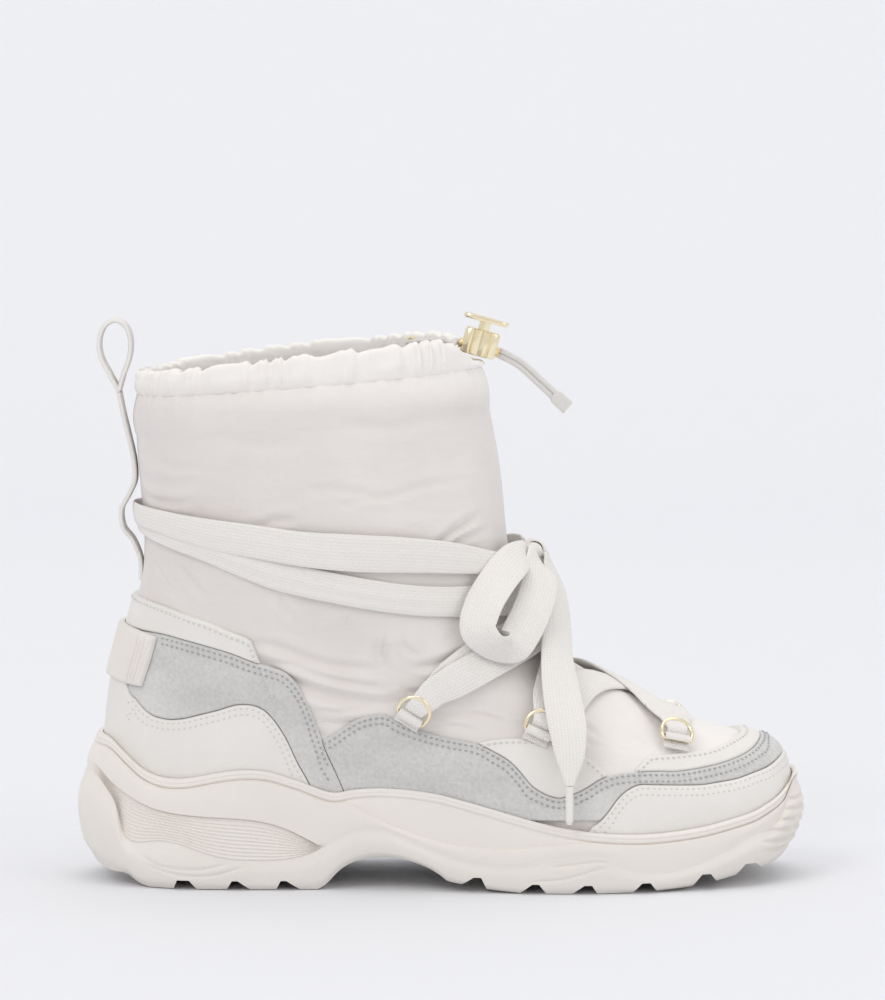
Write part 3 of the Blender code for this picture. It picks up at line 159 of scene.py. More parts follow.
def headings(path: Array, closed: bool = False) -> Array:
    """Unit directions along a path, at each of its places."""
    if closed:
        return unit(np.roll(path, -1, axis=0) - np.roll(path, 1, axis=0))
    return unit(np.gradient(path, axis=0))


def through(rows: Array, count: int) -> Array:
    """Rows evenly spaced along a smooth path whose first three columns are x, y and z.

    Args:
        rows: The path's own rows; further columns, such as a width, go along with it.
        count: How many rows to return.

    Returns:
        The rows read off the smooth curve.
    """
    rows = np.asarray(rows, float)
    length = walked(rows[:, :3])
    return smooth_weights(np.linspace(0, length[-1], count), length) @ rows


def evenly(points: Array, count: int, closed: bool = False) -> Array:
    """Points at equal distances along a fine polyline."""
    if closed:
        points = np.concatenate([points, points[:1]])
    length = walked(points)
    stops = np.linspace(0, length[-1], count, endpoint=not closed)
    return np.stack([np.interp(stops, length, points[:, k]) for k in range(3)], axis=1)


def path_length(points: Array) -> float:
    """Length of a polyline."""
    return float(np.linalg.norm(np.diff(points, axis=0), axis=1).sum())


# Clearances and thicknesses shared with the frame
GAP = 0.3
WALL = 3.0
PANEL = 1.4
PANEL_IN = 0.6
PANEL_OUT = PANEL_IN + PANEL
RIM_IN = PANEL_OUT + GAP + 0.75
LACE = 1.4
LACE_WIDTH = 13.5
WEBBING = 2.0
WEBBING_WIDTH = 13.0
WIRE = 0.8
CORD = 1.1
BEAD = 3.6
SEAM = 0.06
MAP_MIDDLE = 20.0  # where a band's middle lies across its map
SIDES = ((1, "outer"), (-1, "inner"))


class Last:
    """The form the boot is made on, as a surface of angle and row.

    angle is 0 at the toe, pi at the heel and positive on the outer side. row counts the
    sections from the bottom edge up to the collar seam. Each section is an egg-shaped loop:
    its half-width runs through four stations and closes as half a circle raised to a power.
    """

    STATIONS = np.array([0.12, 0.40, 0.70, 0.92])
    CENTRELINE = Curve([(-143, 0.0), (-60, -0.5), (0, -1.5), (55, -0.4), (100, 2.5), (143, 5.5)])
    FOOTBED = Curve([
        (-143, 32.5), (-100, 32), (-60, 30), (-20, 24.5), (20, 18),
        (50, 15), (80, 14.5), (110, 17), (142, 22),
    ])
    # back_x, back_z, front_x, front_z, heel, waist, ball, toe, roundness, follow
    SECTIONS = np.array([
        (-128.5, 32.6, 134, 21.6, 31, 34, 45.5, 31, 0.75, 1),
        (-130.2, 43, 135.2, 30, 33.5, 36.5, 47.5, 33, 0.75, 1),
        (-130.8, 54, 135.2, 38.5, 34, 38, 47, 32.5, 0.75, 0.95),
        (-130.2, 64, 133.6, 46, 34.2, 39, 45.2, 30, 0.75, 0.75),
        (-129.2, 72, 130.6, 51.3, 34.4, 39.5, 42, 26, 0.76, 0.50),
        (-128, 79, 124.5, 54.6, 34.6, 40, 39.5, 21.5, 0.78, 0.30),
        (-126.4, 85.5, 114, 57.2, 34.8, 40.4, 38.2, 20, 0.80, 0.15),
        (-124.8, 91.5, 101, 60.3, 35.2, 41, 38.4, 20.5, 0.82, 0),
        (-123.2, 97.5, 86, 66.3, 35.6, 42, 39.2, 21, 0.85, 0),
        (-121.4, 103.5, 70.5, 74, 36, 42.8, 40.2, 21.5, 0.87, 0),
        (-119.8, 109.5, 56.5, 81, 36.5, 43.8, 41.5, 22.5, 0.89, 0),
        (-118.3, 115.5, 46, 88.2, 37, 45, 43, 23.5, 0.90, 0),
        (-117.4, 121.5, 38, 96.8, 37.3, 46, 43.8, 24.5, 0.92, 0),
        (-117, 127.5, 32, 106.5, 37.6, 46.8, 44.5, 25.2, 0.93, 0),
        (-117, 134.5, 28, 117.5, 37.8, 47.5, 45, 26, 0.94, 0),
        (-117.4, 142, 25.6, 129.5, 38, 48, 45.5, 26.5, 0.95, 0),
        (-118, 150.5, 24.3, 142, 38.2, 48.5, 46, 27, 0.95, 0),
        (-118.7, 160, 23.4, 155, 38.4, 49, 46, 27, 0.95, 0),
        (-119.2, 170, 21.8, 168, 38.4, 49, 46, 27, 0.95, 0),
        (-119.4, 180, 19.3, 181.5, 38.2, 48.8, 45.8, 27, 0.95, 0),
        (-119.2, 187, 16.8, 193, 37.8, 48.2, 45.2, 26.6, 0.95, 0),
        (-118.7, 190.5, 14.6, 201.5, 37, 47, 44.2, 26, 0.95, 0),
    ])
    TOP_ROW = float(len(SECTIONS) - 1)
    SCAN_ROWS = 440
    SCAN_ANGLES = 720

    def __init__(self) -> None:
        """Read the surface once on a fine grid, for looking places up."""
        self.scan_rows = np.linspace(0, self.TOP_ROW, self.SCAN_ROWS)
        self.scan_angles = np.arange(self.SCAN_ANGLES + 1) * TURN / self.SCAN_ANGLES
        grid = np.meshgrid(self.scan_angles, self.scan_rows, indexing="ij")
        self.scan = self.surface(*grid)

    @staticmethod
    def end_round(along: Array, roundness: Array) -> Array:
        """Width near a section's ends: half a circle raised to the roundness."""
        return (2 * np.sqrt(np.clip(along * (1 - along), 0, None))) ** roundness

    @classmethod
    def half_width(cls, along: Array, halves: Array, roundness: Array) -> Array:
        """Half-width at a share of the length, through the four station values."""
        weights = smooth_weights(along, cls.STATIONS)
        roundness = np.asarray(roundness, float)
        at_stations = halves / cls.end_round(cls.STATIONS, roundness[..., None])
        return (weights * at_stations).sum(-1) * cls.end_round(along, roundness)

    def surface(self, angle: Array, row: Array) -> Array:
        """Points on the outside of the upper."""
        angle, row = np.broadcast_arrays(np.asarray(angle, float), np.asarray(row, float))
        mix = smooth_weights(row, np.arange(len(self.SECTIONS))) @ self.SECTIONS
        back_x, back_z, front_x, front_z = (mix[..., i] for i in range(4))
        along = (1 + np.cos(angle)) / 2
        x = back_x + (front_x - back_x) * along
        half = self.half_width(along, mix[..., 4:8], mix[..., 8])
        low, high = self.FOOTBED(-130.0), self.FOOTBED(136.0)
        sink = mix[..., 9] * (low + (high - low) * along - self.FOOTBED(x))
        z = back_z + (front_z - back_z) * along - sink
        y = self.CENTRELINE(x) - np.sign(np.sin(angle)) * half
        return np.stack([x, y, z], axis=-1)

    def normal(self, angle: Array, row: Array) -> Array:
        """Unit normals of the surface, out of the boot, from differences both ways."""
        turn, climb = 0.02, 0.05
        low = np.clip(np.asarray(row, float) - climb, 0, self.TOP_ROW)
        high = np.clip(np.asarray(row, float) + climb, 0, self.TOP_ROW)
        sideways = self.surface(angle + turn, row) - self.surface(angle - turn, row)
        upwards = self.surface(angle, high) - self.surface(angle, low)
        return unit(np.cross(upwards, sideways))

    def lifted(self, angle: Array, row: Array, lift: Array | float) -> Array:
        """Points a distance above the surface, or below it where lift is negative."""
        angle, row = np.broadcast_arrays(np.asarray(angle, float), np.asarray(row, float))
        lift = np.broadcast_to(lift, angle.shape)
        return self.surface(angle, row) + self.normal(angle, row) * lift[..., None]

    def rows_at(self, angles: Array, line: Line) -> Array:
        """Rows at which the meridians at some angles first rise through a line z(x)."""
        angles = np.atleast_1d(angles)
        above = self.scan[..., 2] - line(self.scan[..., 0])
        turned = np.mod(angles, TURN) / TURN * self.SCAN_ANGLES
        cell = np.minimum(turned.astype(int), self.SCAN_ANGLES - 1)
        part = (turned - cell)[:, None]
        meridian = above[cell] * (1 - part) + above[cell + 1] * part
        over = meridian > 0
        first = np.where(over.any(1), over.argmax(1), len(self.scan_rows) - 1)
        before = np.maximum(first - 1, 0)
        pick = np.arange(len(angles))
        low, high = meridian[pick, before], meridian[pick, first]
        share = np.where((low < 0) & (high > 0), -low / np.where(high == low, 1, high - low), 0)
        step = self.scan_rows[1]
        rows = self.scan_rows[before] + share * step
        return np.where(over.any(1), rows, self.TOP_ROW)

    def find(self, x: float, z: float, side: float = 1.0) -> tuple[float, float]:
        """Angle and row of the surface at x and z on one side, 1 outer, -1 inner."""
        half = self.scan[2 : self.SCAN_ANGLES // 2 - 2]
        away = (half[..., 0] - x) ** 2 + (half[..., 2] - z) ** 2
        i, j = np.unravel_index(np.argmin(away), away.shape)
        return side * float(self.scan_angles[i + 2]), float(self.scan_rows[j])

    def angle_at(self, x: float, z: float) -> float:
        """The angle of the outer side's point at x and z."""
        return self.find(x, z)[0]

    def seam(self, angle: Array) -> tuple[Array, Array]:
        """Points of the collar seam and level unit vectors pointing out of the shaft."""
        row = np.full(np.shape(angle), self.TOP_ROW)
        outward = self.normal(angle, row)
        outward[..., 2] = 0
        return self.surface(angle, row), unit(outward)

    def tree(self, wide: int = 256, climb: int = 200) -> BVHTree:
        """The surface as a tree of triangles, for laying laces on it."""
        rows = np.linspace(0, self.TOP_ROW, climb)
        points = self.surface(around(wide)[None, :], rows[:, None]).reshape(-1, 3)
        faces = grid_faces(climb, wide, closed=True)
        return BVHTree.FromPolygons(points.tolist(), faces.tolist())


def grid_faces(rows: int, columns: int, start: int = 0, closed: bool = False) -> Array:
    """Quads of a grid of points stored row after row.

    Args:
        rows: Rows of points.
        columns: Points in a row.
        start: Index of the first point.
        closed: Whether the last column joins the first.

    Returns:
        An array of four corners a face.
    """
    wide = columns if closed else columns - 1
    i, j = np.meshgrid(np.arange(rows - 1), np.arange(wide), indexing="ij")
    i, j = i.ravel(), j.ravel()
    k = (j + 1) % columns
    low = start + i * columns
    return np.stack([low + j, low + k, low + columns + k, low + columns + j], axis=1)


def make_mesh(
    name: str, points: Array, faces: Array | list, finish: Material, uv: Array | None = None,
    sharp: float = 40.0
) -> Piece:
    """A mesh object from points in millimetres, its faces turned outwards.

    Args:
        name: Name of the object.
        points: Corner places, in millimetres.
        faces: Corner indices of each face.
        finish: The material.
        uv: Two coordinates per point in millimetres, where a pattern follows the surface.
        sharp: Edges that turn by more than this many degrees stay crisp.

    Returns:
        The new object, linked to the scene.
    """
    mesh = bpy.data.meshes.new(name)
    corners = [tuple(face) for face in np.asarray(faces).tolist()] if isinstance(faces, Array) else faces
    mesh.from_pydata((np.asarray(points, float).reshape(-1, 3) * MM).tolist(), [], corners)
    if uv is not None:
        layer = mesh.uv_layers.new(name="UVMap")
        index = np.empty(len(mesh.loops), int)
        mesh.loops.foreach_get("vertex_index", index)
        layer.data.foreach_set("uv", np.asarray(uv, float).reshape(-1, 2)[index].ravel())
    mesh.validate()
    face_outwards(mesh)
    return placed(name, mesh, finish, sharp)


def face_outwards(mesh: bpy.types.Mesh) -> None:
    """Merge doubled points, then turn all faces to point out of the closed form."""
    shaper = bmesh.new()
    shaper.from_mesh(mesh)
    bmesh.ops.remove_doubles(shaper, verts=shaper.verts, dist=2e-6)
    bmesh.ops.dissolve_degenerate(shaper, edges=shaper.edges, dist=1e-7)
    bmesh.ops.recalc_face_normals(shaper, faces=shaper.faces)
    shaper.to_mesh(mesh)
    shaper.free()


def placed(name: str, mesh: bpy.types.Mesh, finish: Material, sharp: float = 40.0) -> Piece:
    """Link a mesh to the scene, smooth but for edges that turn by more than sharp degrees."""
    mesh.shade_smooth()
    mesh.set_sharp_from_angle(angle=math.radians(sharp))
    mesh.materials.append(finish)
    item = bpy.data.objects.new(name, mesh)
    bpy.context.scene.collection.objects.link(item)
    return item


def joined(name: str, pieces: list[Piece]) -> Piece:
    """Several pieces of one finish as one object."""
    points, faces, uvs, start = [], [], [], 0
    for piece in pieces:
        mesh = piece.data
        flat = np.empty(len(mesh.vertices) * 3)
        mesh.vertices.foreach_get("co", flat)
        points.append(flat.reshape(-1, 3))
        faces += [[start + v for v in face.vertices] for face in mesh.polygons]
        start += len(mesh.vertices)
        if mesh.uv_layers:
            uv = np.empty(len(mesh.loops) * 2)
            mesh.uv_layers[0].data.foreach_get("uv", uv)
            uvs.append(uv)
    mesh = bpy.data.meshes.new(name)
    mesh.from_pydata(np.concatenate(points).tolist(), [], faces)
    if len(uvs) == len(pieces):
        mesh.uv_layers.new(name="UVMap").data.foreach_set("uv", np.concatenate(uvs))
    item = placed(name, mesh, pieces[0].data.materials[0])
    for piece in pieces:
        bpy.data.meshes.remove(piece.data)
    return item


def loft(
    name: str, rings: Array, finish: Material, joins: bool = False, uv: Array | None = None,
    sharp: float = 40.0
) -> Piece:
    """A closed skin through rings of points, its ends capped or joined to each other.

    Args:
        name: Name of the object.
        rings: Points as ring, place in the ring, then x, y and z.
        finish: The material.
        joins: Whether the last ring joins the first instead of being capped.
        uv: Coordinates per point, laid out as the rings are.
        sharp: Angle above which an edge stays crisp, in degrees.

    Returns:
        The new object.
    """
    high, wide = rings.shape[:2]
    faces = grid_faces(high, wide, closed=True).tolist()
    last = (high - 1) * wide
    if joins:
        faces += [[last + j, last + (j + 1) % wide, (j + 1) % wide, j] for j in range(wide)]
    else:
        faces += [list(range(wide)), list(range(last, last + wide))]
    return make_mesh(name, rings, faces, finish, uv, sharp)


def sheet(name: str, outer: Array, inner: Array, finish: Material, sharp: float) -> Piece:
    """A closed sheet from two grids of places, its rim joining their edges.

    Args:
        name: Name of the object.
        outer: Places of the shown face, as row, column, then x, y and z.
        inner: Places of the hidden face, laid out alike.
        finish: The material.
        sharp: Angle above which an edge stays crisp, in degrees.

    Returns:
        The new object.
    """
    high, wide = outer.shape[:2]
    count = high * wide
    edges = np.concatenate([
        np.arange(wide), np.arange(1, high) * wide + wide - 1,
        (high - 1) * wide + np.arange(wide - 2, -1, -1), np.arange(high - 2, 0, -1) * wide,
    ])
    after = np.roll(edges, -1)
    faces = np.concatenate([
        grid_faces(high, wide), grid_faces(high, wide, start=count)[:, ::-1],
        np.stack([edges, after, count + after, count + edges], axis=1),
    ])
    points = np.concatenate([outer.reshape(-1, 3), inner.reshape(-1, 3)])
    return make_mesh(name, points, faces, finish, sharp=sharp)


def dress(piece: Piece, slot: str, *nodes: str, body: str = BODY) -> Piece:
    """Let a piece ride on its body and stand for its nodes, which are hidden."""
    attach(piece, body)
    if nodes:
        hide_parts(*nodes)
    LOG.info("%s: %d faces, for %s", piece.name, len(piece.data.polygons), ", ".join(nodes) or "detail")
    return piece


class Pattern(Enum):
    """Where a finish's pattern is read from."""

    SPACE = "Object"
    SURFACE = "UV"


class NodeBoard:
    """A material's node tree, with short calls for the nodes the finishes share."""

    def __init__(self, name: str) -> None:
        """Start a material with its shader and output."""
        self.material = bpy.data.materials.new(name)
        self.material.use_nodes = True
        self.tree = self.material.node_tree
        self.shader = self.tree.nodes["Principled BSDF"]

    def feed(self, socket: Socket, value: float | Sequence[float] | Socket) -> None:
        """Link a socket into another, or set it to a number or a colour."""
        if isinstance(value, Socket):
            self.tree.links.new(value, socket)
        else:
            socket.default_value = value

    def node(self, kind: str, **inputs: float | Sequence[float] | Socket) -> bpy.types.Node:
        """Add a shader node and feed its sockets, named with underscores for spaces."""
        made = self.tree.nodes.new("ShaderNode" + kind)
        for key, value in inputs.items():
            self.feed(made.inputs[key.replace("_", " ")], value)
        return made

    def coordinates(self, pattern: Pattern = Pattern.SPACE, scale: Triple = (1, 1, 1)) -> Socket:
        """Pattern coordinates, scaled: object space in metres or the piece's own map."""
        source = self.node("TexCoord").outputs[pattern.value]
        return self.node("Mapping", Scale=scale, Vector=source).outputs["Vector"]

    def split(self, vector: Socket) -> bpy.types.NodeOutputs:
        """The three parts of a vector, under X, Y and Z."""
        return self.node("SeparateXYZ", Vector=vector).outputs

    def noise(self, vector: Socket, scale: float, detail: float = 3.0) -> Socket:
        """Soft noise, with a scale in waves per unit of its coordinates."""
        return self.node("TexNoise", Scale=scale, Detail=detail, Vector=vector).outputs["Fac"]

    def math(self, kind: str, *values: float | Socket) -> Socket:
        """A math node on numbers or sockets."""
        made = self.node("Math")
        made.operation = kind
        for socket, value in zip(made.inputs, values):
            self.feed(socket, value)
        return made.outputs[0]

    def mix(self, first: Socket, first_share: float, second: Socket, second_share: float) -> Socket:
        """Two values, each times its share, added."""
        parts = ((first, first_share), (second, second_share))
        return self.math("ADD", *(self.math("MULTIPLY", value, share) for value, share in parts))

    def blend(self, share: Socket, first: Triple, second: Triple) -> Socket:
        """A colour between two, by a share from 0 to 1."""
        made = self.node("Mix")
        made.data_type = "RGBA"
        for key, value in (("Factor", share), ("A", (*first, 1.0)), ("B", (*second, 1.0))):
            self.feed(made.inputs[key], value)
        return made.outputs["Result"]

    def remap(self, value: Socket, low: float, high: float, start: float = 0.0, end: float = 1.0) -> Socket:
        """A value moved from low and high to start and end, held between them."""
        ends = {"From_Min": low, "From_Max": high, "To_Min": start, "To_Max": end}
        return self.node("MapRange", Value=value, **ends).outputs["Result"]

    def bump(self, height: Socket, depth: float, strength: float, under: Socket | None = None) -> Socket:
        """A bump of a depth in metres, over another bump if one is given."""
        more = {} if under is None else {"Normal": under}
        return self.node("Bump", Distance=depth, Strength=strength, Height=height, **more).outputs["Normal"]

    def finish(
        self, colour: Socket, roughness: float | Socket, normal: Socket, **constants: float
    ) -> Material:
        """Feed the shader and return the material."""
        wires = {"Base_Color": colour, "Roughness": roughness, "Normal": normal, **constants}
        for key, value in wires.items():
            self.feed(self.shader.inputs[key.replace("_", " ")], value)
        return self.material


@dataclass(frozen=True)
class Finish:
    """What every finish has: its name, its lightest colour and its darkest."""

    name: str
    light: Triple
    dark: Triple


@dataclass(frozen=True)
class PaddedNylon(Finish):
    """Matt padded nylon: a fine plain weave, soft puckers and a faint sheen.

    It is painted paler towards the collar and over the vamp, by height and by length: a painted highlight
    where light from above falls.
    """

    thread: float = 2600.0
    pucker: float = 62.0

    RIM_HIGHLIGHT = (0.186, 0.199, 0.0, 0.75)
    VAMP_HIGHLIGHT = (0.05, 0.085, 0.0, 0.6)

    def build(self) -> Material:
        """Make the material."""
        board = NodeBoard(self.name)
        space = board.coordinates()
        patches = board.noise(space, 18.0, 4.0)
        long_puckers = board.coordinates(scale=(0.45, 0.45, 1.3))
        puckers = board.noise(long_puckers, self.pucker, 3.0)
        threads = board.noise(space, self.thread, 1.0)
        rumple = board.noise(space, 260.0, 3.0)
        # Painted highlight: the colour is made paler near the collar seam and over the vamp, where light
        # from above falls
        place = board.split(space)
        rim = board.remap(place["Z"], *self.RIM_HIGHLIGHT)
        vamp = board.remap(place["X"], *self.VAMP_HIGHLIGHT)
        kept = board.math("SUBTRACT", 1.0, board.math("MAXIMUM", rim, vamp))
        share = board.math("MULTIPLY", board.remap(patches, 0.3, 0.7, 0.6, 1.0), kept)
        colour = board.blend(share, self.light, self.dark)
        soft = board.bump(puckers, 0.0032, 0.42)
        finer = board.bump(rumple, 0.0006, 0.30, soft)
        normal = board.bump(threads, 0.00012, 0.55, finer)
        rough = board.remap(threads, 0.2, 0.8, 0.60, 0.74)
        return board.finish(
            colour, rough, normal, Sheen_Weight=0.25, Sheen_Roughness=0.45, Specular_IOR_Level=0.34
        )


@dataclass(frozen=True)
class SmoothLeather(Finish):
    """Smooth off-white leather with fine pebbling and a soft gloss."""

    pebble: float = 1150.0

    def build(self) -> Material:
        """Make the material."""
        board = NodeBoard(self.name)
        space = board.coordinates()
        cells = board.node("TexVoronoi", Scale=self.pebble, Vector=space)
        patches = board.noise(space, 30.0, 4.0)
        pores = board.noise(space, 2200.0, 2.0)
        creases = board.noise(space, 150.0, 4.0)
        colour = board.blend(board.remap(patches, 0.3, 0.75), self.light, self.dark)
        grain = board.bump(cells.outputs["Distance"], 0.00010, 0.55)
        soft = board.bump(creases, 0.0007, 0.30, grain)
        normal = board.bump(pores, 0.00005, 0.4, soft)
        rough = board.remap(patches, 0.3, 0.7, 0.40, 0.52)
        return board.finish(colour, rough, normal, Coat_Weight=0.12, Coat_Roughness=0.35)


@dataclass(frozen=True)
class BrushedSuede(Finish):
    """Pale grey suede: a short nap that lies in lighter and darker patches."""

    nap: float = 700.0

    def build(self) -> Material:
        """Make the material."""
        board = NodeBoard(self.name)
        space = board.coordinates()
        fibres = board.noise(space, self.nap, 5.0)
        strokes = board.noise(board.coordinates(scale=(0.6, 1.0, 1.5)), 42.0, 5.0)
        mottle = board.mix(fibres, 0.45, strokes, 0.55)
        colour = board.blend(board.remap(mottle, 0.36, 0.64), self.dark, self.light)
        coarse = board.bump(fibres, 0.0006, 0.75)
        normal = board.bump(board.noise(space, 2600.0, 2.0), 0.00012, 0.6, coarse)
        return board.finish(
            colour, 0.95, normal, Sheen_Weight=0.35, Sheen_Roughness=0.6, Specular_IOR_Level=0.2
        )


@dataclass(frozen=True)
class Moulded(Finish):
    """Moulded foam, rubber or plastic: even colour, a fine spark-eroded grain."""

    roughness: float = 0.5
    grain: float = 1500.0
    depth: float = 0.00008
    coat: float = 0.0

    def build(self) -> Material:
        """Make the material."""
        board = NodeBoard(self.name)
        space = board.coordinates()
        patches = board.noise(space, 24.0, 3.0)
        grain = board.noise(space, self.grain, 2.0)
        colour = board.blend(board.remap(patches, 0.3, 0.7), self.light, self.dark)
        swell = board.bump(board.noise(space, 90.0, 2.0), 0.0004, 0.25)
        normal = board.bump(grain, self.depth, 0.5, swell)
        rough = board.remap(grain, 0.2, 0.8, self.roughness - 0.06, self.roughness + 0.08)
        return board.finish(colour, rough, normal, Coat_Weight=self.coat, Coat_Roughness=0.3)


@dataclass(frozen=True)
class Ribbon(Finish):
    """Flat woven lace: zigzag ribs across the band, read from the piece's own map.

    The map gives millimetres across and along. A rib's phase is the place along plus a
    sawtooth of the place across, so the ribs rise and fall in columns like chevrons.
    """

    column: float = 2.6
    rib: float = 1.15
    slant: float = 1.0

    def build(self) -> Material:
        """Make the material."""
        board = NodeBoard(self.name)
        place = board.split(board.coordinates(Pattern.SURFACE))
        across, along = place["X"], place["Y"]
        zigzag = board.math("PINGPONG", across, self.column)
        phase = board.math("ADD", along, board.math("MULTIPLY", zigzag, self.slant))
        ribs = board.math("SINE", board.math("MULTIPLY", phase, TURN / self.rib))
        cords = board.math("COSINE", board.math("MULTIPLY", across, TURN * 2 / self.column))
        weave = board.mix(ribs, 0.34, cords, 0.2)
        fuzz = board.noise(board.coordinates(), 1400.0, 3.0)
        height = board.math("ADD", weave, board.math("MULTIPLY", fuzz, 0.5))
        # Painted shade: the weave's low places between the ribs are coloured darker
        colour = board.blend(board.remap(weave, -0.5, 0.25), self.dark, self.light)
        normal = board.bump(height, 0.00022, 0.75)
        return board.finish(
            colour, 0.86, normal, Sheen_Weight=0.2, Sheen_Roughness=0.5, Specular_IOR_Level=0.25
        )


@dataclass(frozen=True)
class Woven(Finish):
    """Plain woven tape or cord: crossed threads slanted both ways, read from the map."""

    across: float = 1.1
    along: float = 1.1
    slanted: bool = False

    def build(self) -> Material:
        """Make the material."""
        board = NodeBoard(self.name)
        place = board.split(board.coordinates(Pattern.SURFACE))
        x, y = place["X"], place["Y"]
        if self.slanted:
            x, y = board.math("ADD", x, y), board.math("SUBTRACT", x, y)
        warp = board.math("SINE", board.math("MULTIPLY", x, TURN / self.across))
        weft = board.math("SINE", board.math("MULTIPLY", y, TURN / self.along))
        weave = board.math("MULTIPLY", warp, weft)
        fuzz = board.noise(board.coordinates(), 1600.0, 3.0)
        height = board.math("ADD", weave, board.math("MULTIPLY", fuzz, 0.6))
        # Painted shade: the weave's low places are coloured darker, along with random tone from the fuzz
        colour = board.blend(board.remap(height, -0.6, 0.6), self.dark, self.light)
        normal = board.bump(height, 0.00018, 0.7)
        return board.finish(
            colour, 0.84, normal, Sheen_Weight=0.2, Sheen_Roughness=0.5, Specular_IOR_Level=0.25
        )


@dataclass(frozen=True)
class PaleGold(Finish):
    """Polished pale gold plating with faint brushing and handling marks."""

    def build(self) -> Material:
        """Make the material."""
        board = NodeBoard(self.name)
        space = board.coordinates()
        marks = board.noise(space, 180.0, 3.0)
        colour = board.blend(board.remap(marks, 0.3, 0.7), self.light, self.dark)
        normal = board.bump(marks, 0.00002, 0.2)
        rough = board.remap(marks, 0.3, 0.7, 0.15, 0.23)
        return board.finish(colour, rough, normal, Metallic=1.0)


Finishes = dict[str, Material]
RECIPES = (
    PaddedNylon("nylon", (0.955, 0.93, 0.905), (0.755, 0.71, 0.69)),
    SmoothLeather("leather", (0.845, 0.825, 0.80), (0.79, 0.765, 0.735)),
    BrushedSuede("suede", (0.72, 0.71, 0.695), (0.57, 0.565, 0.555)),
    Ribbon("lace", (0.90, 0.875, 0.85), (0.80, 0.775, 0.745)),
    PaleGold("gold", (0.98, 0.89, 0.66), (0.93, 0.82, 0.57)),
    Woven("webbing", (0.91, 0.885, 0.86), (0.80, 0.775, 0.75)),
    Woven("cord", (0.91, 0.885, 0.86), (0.80, 0.775, 0.75), across=0.9, along=0.9, slanted=True),
    Moulded("foam", (0.85, 0.81, 0.77), (0.82, 0.78, 0.74), 0.52),
    Moulded("rubber", (0.84, 0.80, 0.755), (0.80, 0.76, 0.715), 0.50, 1100.0, 0.0001),
    Moulded("lining", (0.76, 0.73, 0.69), (0.66, 0.63, 0.59), 0.9, 900.0, 0.0004),
    Moulded("thread", (0.76, 0.735, 0.70), (0.66, 0.635, 0.60), 0.6, 2600.0),
    Moulded("grey_thread", (0.46, 0.47, 0.48), (0.38, 0.39, 0.40), 0.7, 2600.0),
    Moulded("plastic", (0.86, 0.85, 0.82), (0.83, 0.82, 0.79), 0.22, 900.0, 0.00002, 0.4),
)


# Lines as seen from the side, x and z: the sole's, the collar's, the panels' and the wraps'
RIM = Curve([
    (-137, 57.2), (-130, 56.8), (-123, 51.2), (-117, 46.3), (-111, 43.6), (-105, 42.8),
    (-98, 43.3), (-86, 45.7), (-77, 46.7), (-68, 46.2), (-56, 42.6), (-43, 38),
    (-34, 39.2), (-23, 39.8), (-5, 38.4), (10, 35), (40, 27), (55, 24.3), (68, 23),
    (79, 22.7), (90, 23.3), (102, 24.7), (113, 27), (121, 29), (126, 31.2),
    (131, 34), (135, 37.5), (139, 41),
])
RIB_LINE = Curve([
    (-140, 47), (-135, 46), (-129, 40.4), (-123, 36.2), (-117, 33.1), (-111, 30.9),
    (-99, 29.1), (-74, 27.4), (-62, 24.5), (-50, 18.6), (-46, 16.5), (-30, 10), (0, 0),
])
WAVE_LINE = Curve([
    (-60, 60), (-45, 38), (-39, 35), (-32, 31.5), (-20, 25.8), (-5, 20.5), (6, 18.2),
    (17, 17.3), (29, 17.4), (40, 18.9), (55, 19.9), (70, 19.6), (85, 19.4), (96, 20.2),
    (107, 22.5), (118, 26), (124, 29.5), (131, 33), (138, 38),
])
PART_LINE = Curve([
    (-142, 45.5), (-135, 42.3), (-130.5, 37.4), (-127, 31.8), (-124, 21.5), (-120, 18),
    (-109, 19), (-101, 17.8), (-92, 14.6), (-83, 12.5), (-74, 11.9), (-62, 12.2),
    (-52, 14.4), (-43, 18.6), (-35, 22.4), (-28, 23.6), (-20, 22.2), (-5, 16.3),
    (10, 11.7), (25, 10.4), (40, 12.5), (55, 14.8), (62, 13.8), (73, 9.2), (82, 8),
    (91, 8.6), (107, 13.7), (121, 20.5), (128, 23), (132, 27.5), (137, 37), (142, 39),
])
TREAD = Curve([
    (-138, 8.6), (-130, 5.4), (-122, 4.6), (-119, 2.2), (-115, 0.6), (-110, 0),
    (-50, 0), (-47, 1), (-44, 3.4), (-40, 7.6), (-35, 10.8), (-28, 12.8), (-20, 13),
    (-13, 11.8), (-6, 9.4), (-1, 6.6), (2, 4.4), (8, 3.3), (17, 1.8), (29, 0.6), (37, 0),
    (72, 0), (81, 0.5), (94, 1.5), (104, 2.8), (112, 4.4), (122, 6.4), (128, 7.6),
    (136, 10.6),
])
CUFF_TOP = Curve([
    (-122, 198.6), (-105, 201), (-84, 203.6), (-50, 207.8), (-24, 210.2), (-2, 212.3),
    (4, 211.8), (7, 208.6), (10, 205.2), (13, 203.4), (16, 202.6),
])
GUARD_TOP = Curve([
    (-124, 112.4), (-116, 111.1), (-106, 109), (-98, 106.6), (-89, 103.9), (-81, 100.6),
    (-74.5, 98), (-71, 94.9), (-69.2, 91.5), (-68.2, 88), (-66, 78),
])
QUARTER_TOP = Curve([
    (-126, 99), (-116, 98.8), (-107, 98.4), (-98, 96.7), (-90, 94.8), (-81, 92.3),
    (-73, 89.3), (-66, 87.2), (-60.2, 84.8), (-56, 80.5), (-52.5, 74.7), (-50.2, 69),
    (-47.5, 61.4), (-45.2, 54.7), (-41, 45.4), (-37.9, 38.1), (-34, 28),
])
